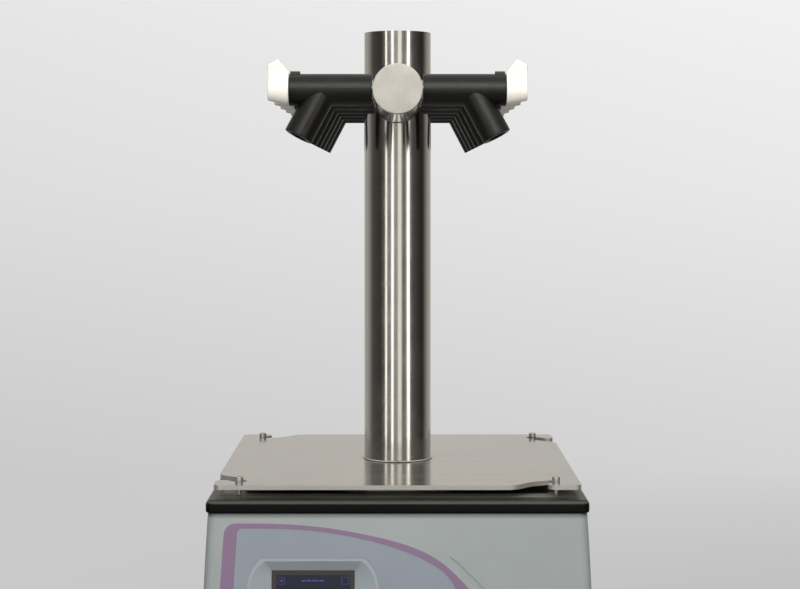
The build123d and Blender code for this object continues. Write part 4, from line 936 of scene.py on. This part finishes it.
class DRYER_OT_rating_plate(Operator):
    """Add the blank plate on the rear panel, with its four rivets"""

    bl_idname = "dryer.rating_plate"
    bl_label = "Add Rating Plate"

    def execute(self, context):
        plate = context.scene.dryer_rating
        _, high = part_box("rear_panel")
        centre = Vector((high.x - plate.from_left, high.y, high.z - plate.from_top))
        turned = Matrix.Rotation(math.pi, 4, "Z") @ Matrix.Rotation(math.pi / 2, 4, "X")
        place = Matrix.Translation(centre) @ turned
        side_edge, face_edge = PLATE_EDGE
        outer = rounded(plate.width, plate.height, PLATE_CORNER)
        inner = rounded(
            plate.width - 2 * side_edge, plate.height - 2 * side_edge, PLATE_CORNER - face_edge
        )
        bm = bmesh.new()
        loft_rings(bm, [
            [place @ Vector((u, v, 0.0)) for u, v in outer],
            [place @ Vector((u, v, plate.thickness - face_edge)) for u, v in outer],
            [place @ Vector((u, v, plate.thickness)) for u, v in inner],
        ])
        foil = turned_metal("plate_foil", plate.foil, 0.38, 0.06)
        foil.bump(foil.noise(grain("X", 1500.0, 20.0)), 0.02 * MM)
        mesh = mesh_from("rating_plate", bm, smooth_under=math.radians(30))
        piece("rating_plate", mesh, "cabinet", foil)
        bm = bmesh.new()
        for side in (-1, 1):
            for rise in (-1, 1):
                spot = Vector((
                    side * (plate.width / 2 - RIVET_INSET),
                    rise * (plate.height / 2 - RIVET_INSET),
                    plate.thickness,
                ))
                rings = [
                    circle(plate.rivet * radius, RIVET_POINTS, plate.rivet * height)
                    for radius, height in RIVET_HEAD
                ]
                loft_rings(bm, [[place @ (spot + point) for point in ring] for ring in rings])
        mesh = mesh_from("plate_rivets", bm, smooth_under=math.radians(50))
        rivets = turned_metal("rivet_steel", plate.rivet_steel, 0.3)
        piece("plate_rivets", mesh, "cabinet", rivets)
        return {"FINISHED"}


# What stands round the dryer at eye level: degrees from the front towards the right, and
# brightness. Narrow lit panels alternate with dark gaps, as window strips and lamps do.
SURROUND = (
    (-180, 0.70), (-150, 0.50), (-122, 0.42), (-110, 0.26), (-96, 0.09), (-62, 0.045),
    (-47, 0.12), (-43.5, 0.16), (-42, 2.7), (-38.5, 2.7), (-37, 0.20), (-22, 0.28),
    (-20.5, 2.9), (-15.5, 2.8), (-14, 0.34), (0, 0.38), (2.5, 1.3), (12.5, 1.3),
    (15, 0.18), (24, 0.17), (33, 0.45), (35, 3.2), (41, 3.2), (43, 0.22), (54, 0.10),
    (84, 0.03), (99, 0.03), (110, 0.18), (124, 0.38), (148, 0.52), (180, 0.70),
)
WALL_TINT = (1.0, 0.965, 0.90)
CEILING_TINT = (1.0, 0.985, 0.96)
LAMP_TINT = (1.0, 0.985, 0.95)
# Heights of the view direction between which the walls turn into the ceiling.
CEILING_FADE = (0.42, 0.75)
# The plain backdrop that the camera sees: height of the view direction, and brightness.
BACKDROP = ((-0.156, 0.62), (-0.118, 0.652), (0.0, 0.765), (0.10, 0.835), (0.2, 0.86))
# The lamps: name, name of the settings, place, and whether glossy pieces mirror it.
LAMPS = (
    ("soft_key", "key", (0.2, -1.9, 1.95), True),
    ("front_fill", "fill", (-0.3, -2.7, 0.6), False),
    ("front_lamp", "lamp", (0.05, -2.1, 1.02), False),
)
# What the lamps point at: the riser, half way up.
LAMPS_AIM = Vector((0, 0, 0.7))
FLOOR_POINTS = 96
FLOOR_RINGS = (0.4, 0.9, 1.6, 2.4)
# The clean part of the floor has its middle this far in front of the dryer.
FLOOR_FRONT = 0.5
# How much of the backdrop's tilt the floor has, behind the dryer and at its rim.
FLOOR_TILT = (-1.2, 1)
# Half way round to the side, the rim is its radius divided by this behind the dryer.
RIM_DIAGONAL = 1.4


class DRYER_OT_studio(Operator):
    """Set up the floor, the room's light, the lamps and the camera"""

    bl_idname = "dryer.studio"
    bl_label = "Set Up Studio"

    def execute(self, context):
        studio = context.scene.dryer_studio
        self.add_floor(context.scene, studio)
        self.light_room(context.scene, studio)
        for name, setting, place, mirrored in LAMPS:
            size, watts = getattr(studio, f"{setting}_size"), getattr(studio, f"{setting}_power")
            self.add_lamp(context.scene, name, place, size, watts, mirrored)
        self.add_camera(context.scene, studio)
        context.scene.view_settings.view_transform = "Standard"
        return {"FINISHED"}

    def add_floor(self, scene, studio):
        """Round floor that turns into the backdrop at its rim."""
        bm = bmesh.new()
        middle = bm.verts.new((0, 0, 0))
        rings = [
            [bm.verts.new(point) for point in circle(radius, FLOOR_POINTS)]
            for radius in (*FLOOR_RINGS, studio.floor_radius)
        ]
        for step in range(FLOOR_POINTS):
            after = (step + 1) % FLOOR_POINTS
            bm.faces.new((middle, rings[0][step], rings[0][after]))
            for inner, outer in zip(rings, rings[1:]):
                bm.faces.new((inner[step], outer[step], outer[after], inner[after]))
        floor = bpy.data.objects.new("floor", mesh_from("floor", bm))
        scene.collection.objects.link(floor)
        floor.data.materials.append(self.floor_finish(studio).material)

    def floor_finish(self, studio):
        """Clean floor near the dryer, a glow like the backdrop further out, dark in mirrors."""
        finish = Finish("floor_finish", studio.floor, 0.75)
        finish.set(Base_Color=finish.mottle(finish.noise(3.0, 3.0), 0.02), Specular_IOR_Level=0.2)
        x, y, _ = finish.parts()
        rim = studio.floor_radius
        away = finish.radius((0.0, -FLOOR_FRONT))
        fade = finish.level(
            away, 0, 1, studio.fade_start + FLOOR_FRONT, studio.fade_end + FLOOR_FRONT
        )
        brightness = finish.level(y, studio.near_floor, studio.far_floor, studio.fade_end, rim)
        tilt = studio.backdrop_tilt * rim / (studio.camera_distance + rim / RIM_DIAGONAL)
        across = finish.level(x, -tilt, tilt, -rim, rim)
        turned = finish.level(y, *FLOOR_TILT, studio.fade_end, rim)
        slope = finish.plus(finish.times(across, turned), 1.0)
        glow = finish.node("Emission", [("Strength", finish.times(brightness, slope))]).outputs[0]
        base_look = finish.shader.outputs[0]
        seen = finish.node("MixShader", [(0, fade), (1, base_look), (2, glow)]).outputs[0]
        mirrored = finish.node("BsdfDiffuse", [("Color", (*studio.floor_glow, 1))]).outputs[0]
        camera = finish.node("LightPath").outputs["Is Camera Ray"]
        choice = finish.node("MixShader", [(0, camera), (1, mirrored), (2, seen)]).outputs[0]
        feed(finish.tree, finish.tree.nodes["Material Output"].inputs["Surface"], choice)
        return finish

    def light_room(self, scene, studio):
        """World light: lit panels and gaps round the dryer, a ceiling, and a plain backdrop."""
        world = bpy.data.worlds.new("room")
        world.use_nodes = True
        scene.world = world
        tree = world.node_tree
        node = partial(add_node, tree)

        def span(value, start, end, low=0.0, high=1.0):
            inputs = [("Value", value), (1, start), (2, end), (3, low), (4, high)]
            return node("MapRange", inputs).outputs[0]

        def ramp(value, stops):
            made = node("ValToRGB", [(0, value)])
            elements = made.color_ramp.elements
            while len(elements) < len(stops):
                elements.new(0.5)
            for element, (position, tint) in zip(elements, stops):
                element.position = position
                element.color = (*tint, 1)
            return made.outputs[0]

        direction = node("TexCoord").outputs["Generated"]
        x, y, z = node("SeparateXYZ", [(0, direction)]).outputs
        front = node("Math", [(0, y), (1, -1.0)], operation="MULTIPLY").outputs[0]
        angle = node("Math", [(0, x), (1, front)], operation="ARCTAN2").outputs[0]
        peak = max(brightness for _, brightness in SURROUND)
        around = ramp(span(angle, -math.pi, math.pi), [
            ((degrees + 180) / 360, shade(WALL_TINT, brightness / peak))
            for degrees, brightness in SURROUND
        ])
        walls = node("Background", [(0, around), (1, peak * studio.room)]).outputs[0]
        roof = node("Background", [(0, (*CEILING_TINT, 1)), (1, studio.ceiling)]).outputs[0]
        above = span(z, *CEILING_FADE)
        lit = node("MixShader", [(0, above), (1, walls), (2, roof)]).outputs[0]
        lowest, highest = BACKDROP[0][0], BACKDROP[-1][0]
        backdrop = ramp(span(z, lowest, highest), [
            ((rise - lowest) / (highest - lowest), (brightness,) * 3)
            for rise, brightness in BACKDROP
        ])
        tilt = span(x, -1.0, 1.0, 1 - studio.backdrop_tilt, 1 + studio.backdrop_tilt)
        plain = node("Background", [(0, backdrop), (1, tilt)]).outputs[0]
        camera = node("LightPath").outputs["Is Camera Ray"]
        final = node("MixShader", [(0, camera), (1, lit), (2, plain)]).outputs[0]
        feed(tree, tree.nodes["World Output"].inputs["Surface"], final)

    def add_lamp(self, scene, name, place, size, watts, mirrored):
        """Square soft light that is never in view itself."""
        light = bpy.data.lights.new(name, "AREA")
        light.shape = "SQUARE"
        light.size = size
        light.energy = watts
        light.color = LAMP_TINT
        lamp = bpy.data.objects.new(name, light)
        lamp.location = place
        lamp.rotation_euler = (LAMPS_AIM - Vector(place)).to_track_quat("-Z", "Y").to_euler()
        lamp.visible_camera = False
        lamp.visible_glossy = mirrored
        scene.collection.objects.link(lamp)

    def add_camera(self, scene, studio):
        """Camera straight in front, a little above the plate."""
        camera = bpy.data.objects.new("camera", bpy.data.cameras.new("camera"))
        camera.data.lens = studio.camera_lens
        camera.location = (0, -studio.camera_distance, studio.camera_height)
        camera.rotation_euler = (math.pi / 2, 0, -studio.camera_yaw)
        camera.data.shift_y = studio.camera_shift
        scene.collection.objects.link(camera)
        scene.camera = camera


class DRYER_PT_panel(Panel):
    """Settings and steps of the freeze dryer"""

    bl_label = "Freeze Dryer"
    bl_idname = "DRYER_PT_panel"
    bl_space_type = "VIEW_3D"
    bl_region_type = "UI"
    bl_category = "Freeze Dryer"

    def draw(self, context):
        for step in STEPS:
            self.layout.operator(step.bl_idname)
        for setting in SETTINGS:
            group = getattr(context.scene, setting)
            box = self.layout.box()
            for name in group.bl_rna.properties.keys():
                if name not in {"rna_type", "name"}:
                    box.prop(group, name)


STEPS = (
    DRYER_OT_steelwork,
    DRYER_OT_valves,
    DRYER_OT_cabinet,
    DRYER_OT_front,
    DRYER_OT_machinery,
    DRYER_OT_screen_marks,
    DRYER_OT_saddle_welds,
    DRYER_OT_rating_plate,
    DRYER_OT_studio,
)


def register():
    for group in SETTINGS.values():
        bpy.utils.register_class(group)
    for name, group in SETTINGS.items():
        setattr(bpy.types.Scene, name, PointerProperty(type=group))
    for step in STEPS:
        bpy.utils.register_class(step)
    bpy.utils.register_class(DRYER_PT_panel)


def unregister():
    bpy.utils.unregister_class(DRYER_PT_panel)
    for step in reversed(STEPS):
        bpy.utils.unregister_class(step)
    for name in SETTINGS:
        delattr(bpy.types.Scene, name)
    for group in reversed(list(SETTINGS.values())):
        bpy.utils.unregister_class(group)


def main():
    register()
    for step in STEPS:
        family, action = step.bl_idname.split(".")
        getattr(getattr(bpy.ops, family), action)()


if __name__ == "__main__":
    main()
